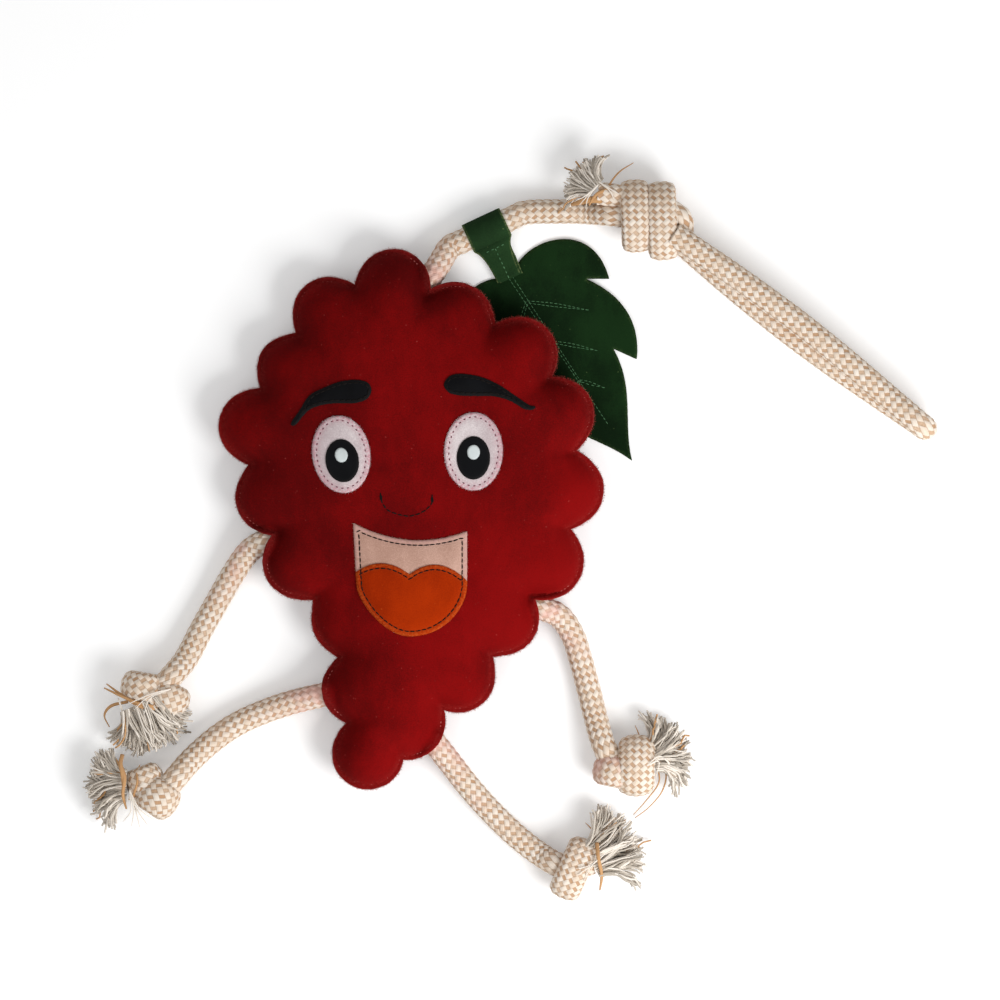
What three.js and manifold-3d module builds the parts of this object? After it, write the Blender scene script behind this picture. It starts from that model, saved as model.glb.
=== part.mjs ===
// A stuffed suede stable toy for horses: a bunch of grapes with a sewn face, knotted rope limbs,
// a suede leaf and a rope hanger. It lies on its back, face up. Millimetres, +Z up, +Y to the crown.
import * as THREE from "three";
import { mergeVertices } from "three/addons/utils/BufferGeometryUtils.js";
import Module from "manifold-3d";

const wasm = await Module();
wasm.setup();

// Stock and fits
const SUEDE = 1.4; // thickness of every suede piece
const ROPE_DIAMETER = 15;
const FIT = 0.3; // gap between pieces that are sewn or seated together
const SWING_FIT = 0.5; // gap round a rope that swings or slides
const FLOOR_GAP = 0.2; // pieces that lie on the floor stay this far above it

// Stuffed body
const SEAM_MARGIN = 3; // from the raw edge to the line of stitches
const SEAM_HEIGHT = 19; // the seam plane above the floor
const FRONT_CROWN = 26; // rise of the front panel above its seam
const BACK_CROWN = 20.5; // drop of the back panel below its seam, before the floor flattens it
const FRONT_REACH = 45; // distance from the seam at which the front stands full
const BACK_REACH = 70; // the same for the back, which rounds more slowly
const FLOOR_SPAN = 400; // width of the block that flattens the back

// Outline of the bunch: one arc for each grape, anticlockwise from the crown: x, y, radius
const GRAPES = [
  [-4, 134, 23], [-44.5, 117, 22.5], [-68.5, 82, 21], [-90.5, 46, 23], [-79.5, 2, 23.5],
  [-62.5, -38.5, 23.5], [-31, -74, 24.5], [-27.5, -118, 21.5], [-20, -158.5, 22.5], [4.5, -138.5, 24],
  [36.5, -110, 23], [64, -74, 23], [90.5, -38, 24.5], [104, 6.5, 23.5], [98, 53, 23.5],
  [75, 91, 23.5], [34, 112, 24.5],
];
const GRAPE_STEPS = 5; // straight steps along each grape's arc
const NOTCH_RISE = 10; // a notch lies at least this far outside the line of its two grapes' middles
const SPINE = { top: [3, 85], bottom: [-8, -125] }; // the line that the panels rise towards
const FRONT_RINGS = [0, 0.09, 0.22, 0.45, 0.8]; // shares of the way from the stitches to the spine
const BACK_RINGS = [0, 0.15, 0.5, 0.8];

// Where a rope leaves the seam, the panels part round it
const MOUTH_SPARE = 2.6; // how far they part beyond the rope
const MOUTH_HALF = 11; // half width of the swelling
const MOUTH_REACH = 12; // its length along the rope
const POCKET_REACH = 24; // length of rope that is kept clear while it swings

// Face: places on the front panel, half sizes and tilts
const EYES = {
  left: { at: [-36.5, 28.5], half: [18, 24.2], tilt: 9 },
  right: { at: [46, 30.3], half: [18.2, 24.3], tilt: -1 },
};
const PUPIL = { half: [10.4, 13.5], drop: 4.1 };
const GLINT = { radius: 4.1, rise: 3.6 };
const BROWS = {
  left: { head: [-25, 68.1], bend: [-51.2, 70], tail: [-66.2, 47.5] },
  right: { head: [35, 72.2], bend: [62.5, 73.1], tail: [83.1, 58.1] },
};
const BROW_HALF = { head: 6.9, tail: 1.4 };
const BROW_TAPER = 1.7; // above 1, a brow stays wide for longer before it tapers
const BROW_CAP = [45, 0, -45]; // directions of the corners round a brow's head
const MOUTH = {
  left: -29, right: 42, leftTop: -14.4, rightTop: -19.4, sag: -33, side: -52.5, bottom: -85, middle: 6.5,
};
const MOUTH_ROUND = { across: 0.6, down: 0.45 }; // pulls of the half ellipse, as shares of its half sizes
const TONGUE = {
  leftTop: -45, rightTop: -50.5, leftBump: -39.5, rightBump: -40.5, dip: -46.3, dipAt: 6, rim: 0.6,
};

// Knots, in rope diameters: the rope turns round its own core and tucks under itself
const KNOT = { coreHalf: 0.9, reach: 0.85, rise: 0.6, turns: 1.3, advance: 0.7, tail: 0.95 };
const HANGER_KNOT = { coreHalf: 1.35, reach: 1.0, rise: 0.74, turns: 2.3, advance: 1.5, tail: 0 };
const TUCK = 0.6; // how far a turn's ends dive towards the core
const TUCK_POWER = 6; // how late they dive

// Rope limbs from above: where each leaves the seam, its route to the knot and its frayed end
const LIMBS = {
  left_arm: {
    root: [-82.5, -24.4],
    route: [
      [-93.9, -31.6], [-104.1, -45.6], [-114.4, -63.5], [-124.5, -81.4], [-134.7, -100.5], [-143.5, -111],
    ],
    swing: [-22, 1], knotAngle: -118, fray: { angle: -108, spread: 120, length: 20 },
  },
  right_arm: {
    root: [84.5, -66.5],
    route: [[99, -72.2], [107.8, -84.3], [113.2, -100.9], [117.7, -117.5], [122.8, -138], [128.5, -156]],
    swing: [-3, 18], knotAngle: -30, fray: { angle: 22, spread: 90, length: 33 },
  },
  left_leg: {
    root: [-43.5, -120.8],
    route: [[-65.8, -126], [-85, -132.4], [-101.6, -140], [-116.9, -150.3], [-130.9, -163], [-141, -174.5]],
    swing: [-1, 24], knotAngle: -150, fray: { angle: 162, spread: 80, length: 30 },
  },
  right_leg: {
    root: [19.5, -149],
    route: [[31.6, -164.7], [45.6, -182.5], [61, -199.1], [76.2, -213.1], [89, -222.5], [97.5, -227.5]],
    swing: [-24, 1], knotAngle: -24, fray: { angle: 28, spread: 66, length: 36 },
  },
};
const MEETS_FLOOR = 0.5; // share of a rope's run at which it comes down to the floor
const LEAVES_FLOOR = 0.6; // share at which it climbs to its knot

// Frayed ends: clumps of yarn that fan out from the rope's cut end
const FRAY = { clumps: 7, root: 3.4, tip: 1.7, sides: 4, rootShare: 0.8 };

// Hanger: rope from the crown through the leaf's strap to a knot, then a loop to hang it by
const HANGER = {
  root: [17, 136],
  toStrap: [[24.5, 147.5]],
  fromStrap: [[100, 180.5], [118, 180]],
  end: [133, 178.5],
  swing: [-2, 12],
  knotAngle: -10,
  tail: [[143, 190], [121, 195.5]],
  fray: { angle: 142, spread: 70, length: 24 },
};
const STRAP_CENTRE = [54.1, 168.9];
const STRAP_ANGLE = 25; // heading of the rope through the strap
const STRAIGHT = [25, 17]; // straight run of rope on each side of the strap's middle
const LOOP = { start: [170.5, 166], end: [321, 50.5], swing: [-12, 12], side: 8.4, fold: 9.2, low: 11 };
const LOOP_SHARES = [0, 0.12, 0.3, 0.5, 0.7, 0.88]; // places along each of its strands
const LOOP_SETTLE = 0.3; // share of the strand by which it comes down to the floor
const LOOP_FOLD = [-50, 0, 50]; // directions of the places round its fold

// Leaf: strap round the rope, and the blade whose stalk is sewn under the strap's two tails
const STRAP = { band: 26, neck: 15.5, neckAt: 12, end: 33, joinAngle: -38 };
const LEAF = { base: [67.5, 141.9], angle: -56.5, stalk: 15, stalkHalf: 5.5 };
const LEAF_EDGE = [ // half outline from the stalk to the tip: along the midrib, across it
  { pull: [[-9, 22], [2, 58]], to: [38, 51] },
  { to: [30, 39] },
  { pull: [[58, 57], [78, 47]], to: [89.5, 37.5] },
  { to: [76, 29] },
  { pull: [[104, 27], [116, 7]], to: [138, 0] },
];

// Facets
const ROPE_SIDES = 10;
const ROPE_STEPS = 9;
const LOOP_STEPS = 40;
const KNOT_SIDES = 8;
const TURN_STEPS = 10;
const PATCH_STEPS = 7; // steps along each curve of an outline
const POCKET_SIDES = 8;
const SWING_STEP = 16; // degrees between the places at which a swinging rope clears its pocket

const ROPE_RADIUS = ROPE_DIAMETER / 2;
const ROPE_ON_FLOOR = ROPE_RADIUS + FLOOR_GAP;
const STRAP_BORE = ROPE_RADIUS + SWING_FIT; // also what the seam's openings leave round a rope
const ROPE_IN_STRAP = STRAP_BORE + SUEDE + FLOOR_GAP;

const FINISHES = {
  redSuede: { color: 0x6e0f10, roughness: 0.85 },
  greenSuede: { color: 0x16301a, roughness: 0.85 },
  blackLeather: { color: 0x15181a, roughness: 0.75 },
  whiteSuede: { color: 0xc9bcbd, roughness: 0.85 },
  creamSuede: { color: 0xbd9583, roughness: 0.85 },
  orangeSuede: { color: 0xa5350a, roughness: 0.85 },
  cottonRope: { color: 0xd8bfa2, roughness: 0.9 },
  looseYarn: { color: 0xbfae9f, roughness: 0.95 },
  wadding: { color: 0xd9d3c8, roughness: 1 },
};

const toy = new THREE.Group();

function addNode(name, solid, finish) {
  const mesh = solid.getMesh();
  const geometry = new THREE.BufferGeometry();
  geometry.setAttribute("position", new THREE.BufferAttribute(mesh.vertProperties, 3));
  geometry.setIndex(new THREE.BufferAttribute(mesh.triVerts, 1));
  geometry.computeVertexNormals();
  const material = new THREE.MeshStandardMaterial({ metalness: 0, ...FINISHES[finish] });
  const piece = new THREE.Mesh(geometry, material);
  piece.name = name;
  toy.add(piece);
}

// Solids and plane geometry
function solidOf(geometry) {
  const bare = new THREE.BufferGeometry().setAttribute("position", geometry.getAttribute("position"));
  if (geometry.index) bare.setIndex(geometry.index);
  const merged = mergeVertices(bare, 1e-4);
  return new wasm.Manifold(
    new wasm.Mesh({
      numProp: 3,
      vertProperties: merged.attributes.position.array,
      triVerts: new Uint32Array(merged.index.array),
    }),
  );
}

const join = (solids) => solids.reduce((all, one) => all.add(one));
const cut = (solid, tools) => tools.reduce((rest, tool) => rest.subtract(tool), solid);
const radians = THREE.MathUtils.degToRad;
const flat = ([x, y]) => new THREE.Vector2(x, y);
const raised = (p, z) => new THREE.Vector3(p.x, p.y, z);
const heading = (degrees) => new THREE.Vector2(Math.cos(radians(degrees)), Math.sin(radians(degrees)));

function nearestOnSegment(p, a, b) {
  const along = b.clone().sub(a);
  const share = THREE.MathUtils.clamp(p.clone().sub(a).dot(along) / along.lengthSq(), 0, 1);
  return a.clone().addScaledVector(along, share);
}

// Closed loft through rings of equal count, capped across its first and last ring. Each quad is split
// from its wider ring's first corner, so that faces one above the other are split alike.
function loft(rings) {
  const count = rings[0].length;
  const girth = (ring) => ring.reduce((sum, p, k) => sum + p.distanceTo(ring[(k + 1) % count]), 0);
  const faces = [];
  for (let ring = 0; ring + 1 < rings.length; ring++) {
    const inward = girth(rings[ring + 1]) < girth(rings[ring]);
    for (let k = 0; k < count; k++) {
      const a = ring * count + k;
      const b = ring * count + ((k + 1) % count);
      if (inward) faces.push(a, b, b + count, a, b + count, a + count);
      else faces.push(a, b, a + count, b, b + count, a + count);
    }
  }
  const cap = (ring, facesDown) => {
    const outline = rings[ring].map((p) => new THREE.Vector2(p.x, p.y));
    for (const [a, b, c] of THREE.ShapeUtils.triangulateShape(outline, [])) {
      const corners = facesDown ? [a, c, b] : [a, b, c];
      faces.push(...corners.map((k) => ring * count + k));
    }
  };
  cap(0, true);
  cap(rings.length - 1, false);
  const geometry = new THREE.BufferGeometry();
  const places = rings.flat().flatMap((p) => [p.x, p.y, p.z]);
  geometry.setAttribute("position", new THREE.Float32BufferAttribute(places, 3));
  geometry.setIndex(faces);
  return solidOf(geometry);
}

function extruded(shape, depth) {
  const options = { depth, curveSegments: PATCH_STEPS, bevelEnabled: false };
  return solidOf(new THREE.ExtrudeGeometry(shape, options));
}

function tube(curve, radius, sides, steps) {
  const corners = Array.from({ length: sides }, (_, k) => heading((360 * k) / sides).multiplyScalar(radius));
  const section = new THREE.Shape(corners);
  return solidOf(new THREE.ExtrudeGeometry(section, { steps, extrudePath: curve, bevelEnabled: false }));
}

function ball(centre, radius, sides) {
  const sphere = new THREE.SphereGeometry(radius, sides, sides / 2);
  return solidOf(sphere.translate(centre.x, centre.y, centre.z));
}

// Notches between the grapes, each after its grape, and the way from each into the bunch
const notches = GRAPES.map((grape, k) => {
  const next = GRAPES[(k + 1) % GRAPES.length];
  const along = flat(next).sub(flat(grape));
  const gap = along.length();
  along.normalize();
  const reach = (gap * gap + grape[2] ** 2 - next[2] ** 2) / (2 * gap);
  const rise = Math.sqrt(Math.max(NOTCH_RISE ** 2, grape[2] ** 2 - reach ** 2));
  const inward = new THREE.Vector2(-along.y, along.x);
  return { at: flat(grape).addScaledVector(along, reach).addScaledVector(inward, -rise), inward };
});

// Runs a function over the steps of every grape's arc, from one notch towards the next
function roundBunch(place) {
  const count = GRAPES.length;
  return GRAPES.flatMap((grape, k) => {
    const before = notches[(k + count - 1) % count];
    const shares = Array.from({ length: GRAPE_STEPS }, (_, step) => step / GRAPE_STEPS);
    return shares.map((share) => place(grape, before, notches[k], share));
  });
}

// Outline of the bunch at a distance inside its raw edge
function bunchOutline(inset) {
  return roundBunch((grape, before, after, share) => {
    if (share === 0) return before.at.clone().addScaledVector(before.inward, inset);
    const centre = flat(grape);
    const start = before.at.clone().sub(centre).angle();
    const end = after.at.clone().sub(centre).angle();
    const sweep = end > start ? end - start : end - start + 2 * Math.PI;
    const angle = start + sweep * share;
    const out = new THREE.Vector2(Math.cos(angle), Math.sin(angle));
    return centre.addScaledVector(out, grape[2] - inset);
  });
}

const rawEdge = bunchOutline(0);
const stitchLine = bunchOutline(SEAM_MARGIN);

// Each outline point's foot on the spine, which advances steadily from notch to notch
const spineFoot = (p) => nearestOnSegment(p, flat(SPINE.top), flat(SPINE.bottom));
const feet = roundBunch((grape, before, after, share) =>
  spineFoot(before.at).lerp(spineFoot(after.at), share),
);

// Ropes that leave the seam
const ropes = [
  ...Object.values(LIMBS).map((limb) => ({ curve: limbCurve(limb), swing: limb.swing })),
  { curve: hangerCurve(), swing: HANGER.swing },
];

// Heights of the two panels' meeting faces above the floor
function distanceFromSeam(p) {
  const gaps = stitchLine.map((a, k) => {
    const b = stitchLine[(k + 1) % stitchLine.length];
    return p.distanceTo(nearestOnSegment(p, a, b));
  });
  return Math.min(...gaps);
}

function mouthSpread(p) {
  const spreads = ropes.map(({ curve }) => {
    const root = flat(curve.getPoint(0).toArray());
    const outer = flat(curve.getPointAt(MOUTH_REACH / curve.getLength()).toArray());
    const gap = p.distanceTo(nearestOnSegment(p, root, outer));
    return (STRAP_BORE + MOUTH_SPARE) * Math.exp(-((gap / MOUTH_HALF) ** 2));
  });
  return Math.max(...spreads);
}

function swell(p, crown, reach) {
  const fullness = Math.sin((Math.PI / 2) * Math.min(1, distanceFromSeam(p) / reach));
  return Math.max(crown * fullness, mouthSpread(p));
}

const frontHeight = (p) => SEAM_HEIGHT + swell(p, FRONT_CROWN, FRONT_REACH);
const backForm = (p) => SEAM_HEIGHT - swell(p, BACK_CROWN, BACK_REACH);
const backHeight = (p) => Math.max(SUEDE, backForm(p));
const flangeFront = (p) => SEAM_HEIGHT + mouthSpread(p);
const flangeBack = (p) => SEAM_HEIGHT - mouthSpread(p);

// Rings of a panel from its stitches towards the spine, at a height above the meeting face
function panelRings(shares, height, lift) {
  return shares.map((share) =>
    stitchLine.map((p, k) => {
      const place = p.clone().lerp(feet[k], share);
      return raised(place, height(place) + lift);
    }),
  );
}

const edgeRing = (height, lift) => rawEdge.map((p) => raised(p, height(p) + lift));

function frontShell() {
  return loft([
    ...panelRings(FRONT_RINGS, frontHeight, FIT / 2).reverse(),
    edgeRing(flangeFront, FIT / 2),
    edgeRing(flangeFront, SUEDE),
    ...panelRings(FRONT_RINGS, frontHeight, SUEDE),
  ]);
}

// The back is rounded, then flattened where it lies on the floor
function backShell() {
  const rounded = loft([
    ...panelRings(BACK_RINGS, backForm, -SUEDE).reverse(),
    edgeRing(flangeBack, -SUEDE),
    edgeRing(flangeBack, -FIT / 2),
    ...panelRings(BACK_RINGS, backHeight, -FIT / 2),
  ]);
  const floor = new THREE.BoxGeometry(FLOOR_SPAN, FLOOR_SPAN, BACK_CROWN).translate(0, 0, -BACK_CROWN / 2);
  return rounded.subtract(solidOf(floor));
}

function filling() {
  return loft([
    ...panelRings(BACK_RINGS.slice(1), backHeight, FIT / 2).reverse(),
    ...panelRings(FRONT_RINGS.slice(1), frontHeight, -FIT / 2),
  ]);
}

// Everything below the front panel's face, for the pieces that lie on it
const underFace = loft([
  rawEdge.map((p) => raised(p, 0)),
  edgeRing(flangeFront, SUEDE),
  ...panelRings(FRONT_RINGS, frontHeight, SUEDE),
]);

// Space that a rope's root needs while it swings
function swingPocket({ curve, swing: [low, high] }) {
  const length = curve.getLength();
  const pivot = curve.getPoint(0);
  const places = [pivot, ...[0.5, 1].map((share) => curve.getPointAt((POCKET_REACH * share) / length))];
  const radius = STRAP_BORE / Math.cos(Math.PI / POCKET_SIDES);
  const bent = tube(new THREE.CatmullRomCurve3(places), radius, POCKET_SIDES, places.length - 1);
  const sleeve = bent.add(ball(pivot, radius, POCKET_SIDES)).translate(pivot.clone().negate().toArray());
  const count = Math.ceil((high - low) / SWING_STEP);
  const turned = Array.from({ length: count + 1 }, (_, k) => {
    const degrees = low + ((high - low) * k) / count;
    return sleeve.rotate([0, 0, degrees]).translate(pivot.toArray());
  });
  return join(turned);
}

const pockets = ropes.map(swingPocket);
const rootRadius = STRAP_BORE + 2 * MOUTH_SPARE;
const rootPockets = ropes.map(({ curve }) => ball(curve.getPoint(0), rootRadius, POCKET_SIDES));
addNode("front_panel", cut(frontShell(), pockets), "redSuede");
addNode("back_panel", cut(backShell(), pockets), "redSuede");
addNode("stuffing", cut(filling(), rootPockets), "wadding");

// Face: each piece is cut from a layer of suede that follows the front panel
function applique(name, shape, layer, finish) {
  const below = layer * (SUEDE + FIT) + FIT;
  const top = SEAM_HEIGHT + FRONT_CROWN + SUEDE + below + SUEDE;
  const blank = extruded(shape, 2 * top).translate([0, 0, -top]);
  const upper = underFace.translate([0, 0, below + SUEDE]);
  const lower = underFace.translate([0, 0, below]);
  addNode(name, blank.intersect(upper).subtract(lower), finish);
}

function ellipse([x, y], [halfWidth, halfHeight], tilt) {
  const shape = new THREE.Shape();
  shape.absellipse(x, y, halfWidth, halfHeight, 0, 2 * Math.PI, false, radians(tilt));
  return new THREE.Shape(shape.getSpacedPoints(4 * PATCH_STEPS).slice(0, -1));
}

function addEye(side, eye) {
  const down = heading(eye.tilt - 90);
  const pupilAt = flat(eye.at).addScaledVector(down, PUPIL.drop);
  const glintAt = pupilAt.clone().addScaledVector(down, -GLINT.rise);
  applique(`${side}_eye_white`, ellipse(eye.at, eye.half, eye.tilt), 0, "whiteSuede");
  applique(`${side}_pupil`, ellipse(pupilAt.toArray(), PUPIL.half, eye.tilt), 1, "blackLeather");
  applique(`${side}_glint`, ellipse(glintAt.toArray(), [GLINT.radius, GLINT.radius], 0), 2, "whiteSuede");
}

// A brow is a bent stroke with a round head that tapers to its tail
function browShape({ head, bend, tail }) {
  const line = new THREE.QuadraticBezierCurve(flat(head), flat(bend), flat(tail));
  const upper = [];
  const lower = [];
  for (let k = 0; k <= PATCH_STEPS; k++) {
    const share = k / PATCH_STEPS;
    const half = THREE.MathUtils.lerp(BROW_HALF.head, BROW_HALF.tail, share ** BROW_TAPER);
    const tangent = line.getTangent(share);
    const side = new THREE.Vector2(-tangent.y, tangent.x).multiplyScalar(half);
    upper.push(line.getPoint(share).add(side));
    lower.unshift(line.getPoint(share).sub(side));
  }
  const back = line.getTangent(0).negate();
  const cap = BROW_CAP.map((degrees) => {
    const way = back.clone().rotateAround(new THREE.Vector2(), radians(degrees));
    return flat(head).addScaledVector(way, BROW_HALF.head);
  });
  return new THREE.Shape([...upper, ...lower, ...cap]);
}

// The mouth sags at its top and ends in a half ellipse; the tongue fills it below a two-bump edge
function closeRound(shape, inset) {
  const { left, right, side, bottom, middle } = MOUTH;
  const low = bottom + inset;
  const bow = (side - low) * MOUTH_ROUND.down;
  const rightPull = middle + (right - middle) * MOUTH_ROUND.across;
  const leftPull = middle + (left - middle) * MOUTH_ROUND.across;
  shape.lineTo(right - inset, side);
  shape.bezierCurveTo(right - inset, side - bow, rightPull, low, middle, low);
  shape.bezierCurveTo(leftPull, low, left + inset, side - bow, left + inset, side);
  return shape;
}

function mouthShape() {
  const { left, right, leftTop, rightTop, sag, middle } = MOUTH;
  const shape = new THREE.Shape();
  shape.moveTo(left, leftTop);
  shape.quadraticCurveTo(middle, sag, right, rightTop);
  return closeRound(shape, 0);
}

function tongueShape() {
  const { leftTop, rightTop, leftBump, rightBump, dip, dipAt, rim } = TONGUE;
  const left = MOUTH.left + rim;
  const right = MOUTH.right - rim;
  const shape = new THREE.Shape();
  shape.moveTo(left, leftTop);
  shape.quadraticCurveTo((left + dipAt) / 2, 2 * leftBump - (leftTop + dip) / 2, dipAt, dip);
  shape.quadraticCurveTo((right + dipAt) / 2, 2 * rightBump - (rightTop + dip) / 2, right, rightTop);
  return closeRound(shape, rim);
}

for (const [side, eye] of Object.entries(EYES)) addEye(side, eye);
for (const [side, brow] of Object.entries(BROWS)) {
  applique(`${side}_brow`, browShape(brow), 0, "blackLeather");
}
applique("mouth_patch", mouthShape(), 0, "creamSuede");
applique("tongue_patch", tongueShape(), 1, "orangeSuede");

// Knots lie in a frame of their own: x along the rope, z up
const inPlace = (solid, at, degrees) => solid.rotate([0, 0, degrees]).translate([at.x, at.y, at.z]);
function knotSolid(knot, tailAngle, grow) {
  const half = knot.coreHalf * ROPE_DIAMETER + grow;
  const radius = ROPE_RADIUS + grow;
  const core = new THREE.LineCurve3(new THREE.Vector3(-half, 0, 0), new THREE.Vector3(half, 0, 0));
  const steps = Math.round(TURN_STEPS * knot.turns);
  const turns = Array.from({ length: steps + 1 }, (_, k) => {
    const share = k / steps;
    const angle = 2 * Math.PI * knot.turns * share;
    const tucked = 1 - TUCK * Math.abs(2 * share - 1) ** TUCK_POWER;
    const across = knot.reach * tucked * Math.cos(angle);
    const up = knot.rise * tucked * Math.sin(angle);
    return new THREE.Vector3((share - 0.5) * knot.advance, across, up).multiplyScalar(ROPE_DIAMETER);
  });
  const solids = [
    tube(core, radius, KNOT_SIDES, 1),
    tube(new THREE.CatmullRomCurve3(turns), radius, KNOT_SIDES, steps),
  ];
  if (knot.tail) {
    const end = heading(tailAngle).multiplyScalar(knot.tail * ROPE_DIAMETER + grow);
    solids.push(tube(new THREE.LineCurve3(new THREE.Vector3(), raised(end, 0)), radius, KNOT_SIDES, 1));
  }
  return join(solids);
}

// Clumps of yarn fan out along x from a rope's cut end and droop to the floor
function frayedEnd({ spread, length }, height) {
  const stub = new THREE.LineCurve3(new THREE.Vector3(), new THREE.Vector3(FRAY.root, 0, 0));
  const drop = height - FRAY.root - FLOOR_GAP;
  const clumps = Array.from({ length: FRAY.clumps }, (_, k) => {
    const way = heading(spread * (k / (FRAY.clumps - 1) - 0.5)).multiplyScalar(length);
    const tip = raised(way, k % 2 ? -drop : -drop / 2);
    const clump = new THREE.CylinderGeometry(FRAY.tip, FRAY.root, tip.length(), FRAY.sides);
    clump.translate(0, tip.length() / 2, 0);
    const upright = new THREE.Vector3(0, 1, 0);
    const turn = new THREE.Quaternion().setFromUnitVectors(upright, tip.clone().normalize());
    return solidOf(clump.applyQuaternion(turn).translate(FRAY.root, 0, 0));
  });
  return join([tube(stub, FRAY.rootShare * ROPE_RADIUS, KNOT_SIDES, 1), ...clumps]);
}

// Height of a knot's middle as it lies on the floor
function knotHeight(knot) {
  return (knot.rise + 0.5) * ROPE_DIAMETER + FLOOR_GAP;
}

// Rope limbs
function limbCurve(limb) {
  const endHeight = knotHeight(KNOT);
  const places = [limb.root, ...limb.route].map((place, k, all) => {
    const share = k / (all.length - 1);
    const down = Math.max(0, 1 - share / MEETS_FLOOR) ** 2 * (SEAM_HEIGHT - ROPE_ON_FLOOR);
    const up = Math.max(0, (share - LEAVES_FLOOR) / (1 - LEAVES_FLOOR)) ** 2 * (endHeight - ROPE_ON_FLOOR);
    return raised(flat(place), ROPE_ON_FLOOR + down + up);
  });
  return new THREE.CatmullRomCurve3(places);
}

function addLimb(name, limb) {
  const height = knotHeight(KNOT);
  const curve = limbCurve(limb);
  const way = heading(limb.knotAngle).multiplyScalar(KNOT.coreHalf * ROPE_DIAMETER);
  const middle = curve.getPoint(1).add(raised(way, 0));
  const tailAngle = limb.fray.angle - limb.knotAngle;
  const knot = (grow) => inPlace(knotSolid(KNOT, tailAngle, grow), middle, limb.knotAngle);
  const tail = heading(limb.fray.angle).multiplyScalar(KNOT.tail * ROPE_DIAMETER);
  const fray = inPlace(frayedEnd(limb.fray, height), middle.clone().add(raised(tail, 0)), limb.fray.angle);
  const root = ball(curve.getPoint(0), ROPE_RADIUS, ROPE_SIDES);
  const rope = tube(curve, ROPE_RADIUS, ROPE_SIDES, ROPE_STEPS).add(root);
  addNode(`${name}_rope`, rope.subtract(knot(FIT)), "cottonRope");
  addNode(`${name}_knot`, knot(0), "cottonRope");
  addNode(`${name}_frayed_end`, fray.subtract(knot(FIT)), "looseYarn");
}

for (const [name, limb] of Object.entries(LIMBS)) addLimb(name, limb);

// Hanger
function hangerCurve() {
  const centre = flat(STRAP_CENTRE);
  const along = heading(STRAP_ANGLE);
  const straight = [...STRAIGHT.map((run) => -run), 0, ...[...STRAIGHT].reverse()];
  const onFloor = (place) => raised(flat(place), ROPE_IN_STRAP);
  return new THREE.CatmullRomCurve3([
    raised(flat(HANGER.root), SEAM_HEIGHT),
    ...HANGER.toStrap.map((place) => raised(flat(place), (SEAM_HEIGHT + ROPE_IN_STRAP) / 2)),
    ...straight.map((run) => raised(centre.clone().addScaledVector(along, run), ROPE_IN_STRAP)),
    ...HANGER.fromStrap.map(onFloor),
    raised(flat(HANGER.end), knotHeight(HANGER_KNOT)),
  ]);
}

// The loop runs out low, folds upright at its end and comes back high, drawn apart sideways between.
// Both strands start above its pivot.
function loopCurve() {
  const start = flat(LOOP.start);
  const end = flat(LOOP.end);
  const along = end.clone().sub(start);
  const reach = along.length();
  along.normalize();
  const aside = new THREE.Vector2(-along.y, along.x);
  const strand = (side, lift) =>
    LOOP_SHARES.map((share) => {
      const off = side * (LOOP.side / 2) * Math.sin(Math.PI * share);
      const settling = Math.max(0, 1 - share / LOOP_SETTLE) ** 2;
      const place = start.clone().addScaledVector(along, reach * share).addScaledVector(aside, off);
      return raised(place, ROPE_ON_FLOOR + settling * (LOOP.low - ROPE_ON_FLOOR) + lift);
    });
  const fold = LOOP_FOLD.map((degrees) => {
    const way = heading(degrees).multiplyScalar(LOOP.fold);
    return raised(end.clone().addScaledVector(along, way.x), ROPE_ON_FLOOR + LOOP.fold + way.y);
  });
  const back = strand(1, ROPE_DIAMETER + 2 * FIT).reverse();
  return new THREE.CatmullRomCurve3([...strand(-1, 0), ...fold, ...back]);
}

function addHanger() {
  const height = knotHeight(HANGER_KNOT);
  const curve = hangerCurve();
  const way = heading(HANGER.knotAngle).multiplyScalar(HANGER_KNOT.coreHalf * ROPE_DIAMETER);
  const middle = curve.getPoint(1).add(raised(way, 0));
  const [tailStart, tailEnd] = HANGER.tail.map((place) => raised(flat(place), height));
  const tail = (grow) => {
    const end = tailEnd.clone().add(tailEnd.clone().sub(tailStart).setLength(grow));
    return tube(new THREE.LineCurve3(tailStart, end), ROPE_RADIUS + grow, KNOT_SIDES, 1);
  };
  const knot = (grow) => inPlace(knotSolid(HANGER_KNOT, 0, grow), middle, HANGER.knotAngle).add(tail(grow));
  const root = ball(curve.getPoint(0), ROPE_RADIUS, ROPE_SIDES);
  const rope = tube(curve, ROPE_RADIUS, ROPE_SIDES, 2 * ROPE_STEPS).add(root);
  const fray = inPlace(frayedEnd(HANGER.fray, height), tailEnd, HANGER.fray.angle);
  addNode("hanger_rope", rope.subtract(knot(FIT)), "cottonRope");
  addNode("hanger_knot", cut(knot(0), addLoop()), "cottonRope");
  addNode("hanger_frayed_end", fray.subtract(knot(FIT)), "looseYarn");
}

// Adds the loop, which swings on its strands' round ends, and returns what it needs cut from the knot
function addLoop() {
  const curve = loopCurve();
  const backwards = new THREE.CatmullRomCurve3([...curve.points].reverse());
  const ends = [0, 1].map((share) => ball(curve.getPoint(share), ROPE_RADIUS, ROPE_SIDES));
  const loop = join([tube(curve, ROPE_RADIUS, ROPE_SIDES, LOOP_STEPS), ...ends]);
  addNode("hanging_loop", loop, "cottonRope");
  return [curve, backwards].map((strand) => swingPocket({ curve: strand, swing: LOOP.swing }));
}

addHanger();

// Leaf: both pieces are drawn in a frame with x along the leaf and y along the rope
function leafFrame(origin, degrees) {
  const along = raised(heading(degrees), 0);
  const across = raised(heading(degrees + 90), 0);
  const frame = new THREE.Matrix4().makeBasis(along, across, new THREE.Vector3(0, 0, 1));
  return frame.setPosition(raised(flat(origin), 0));
}

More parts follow.
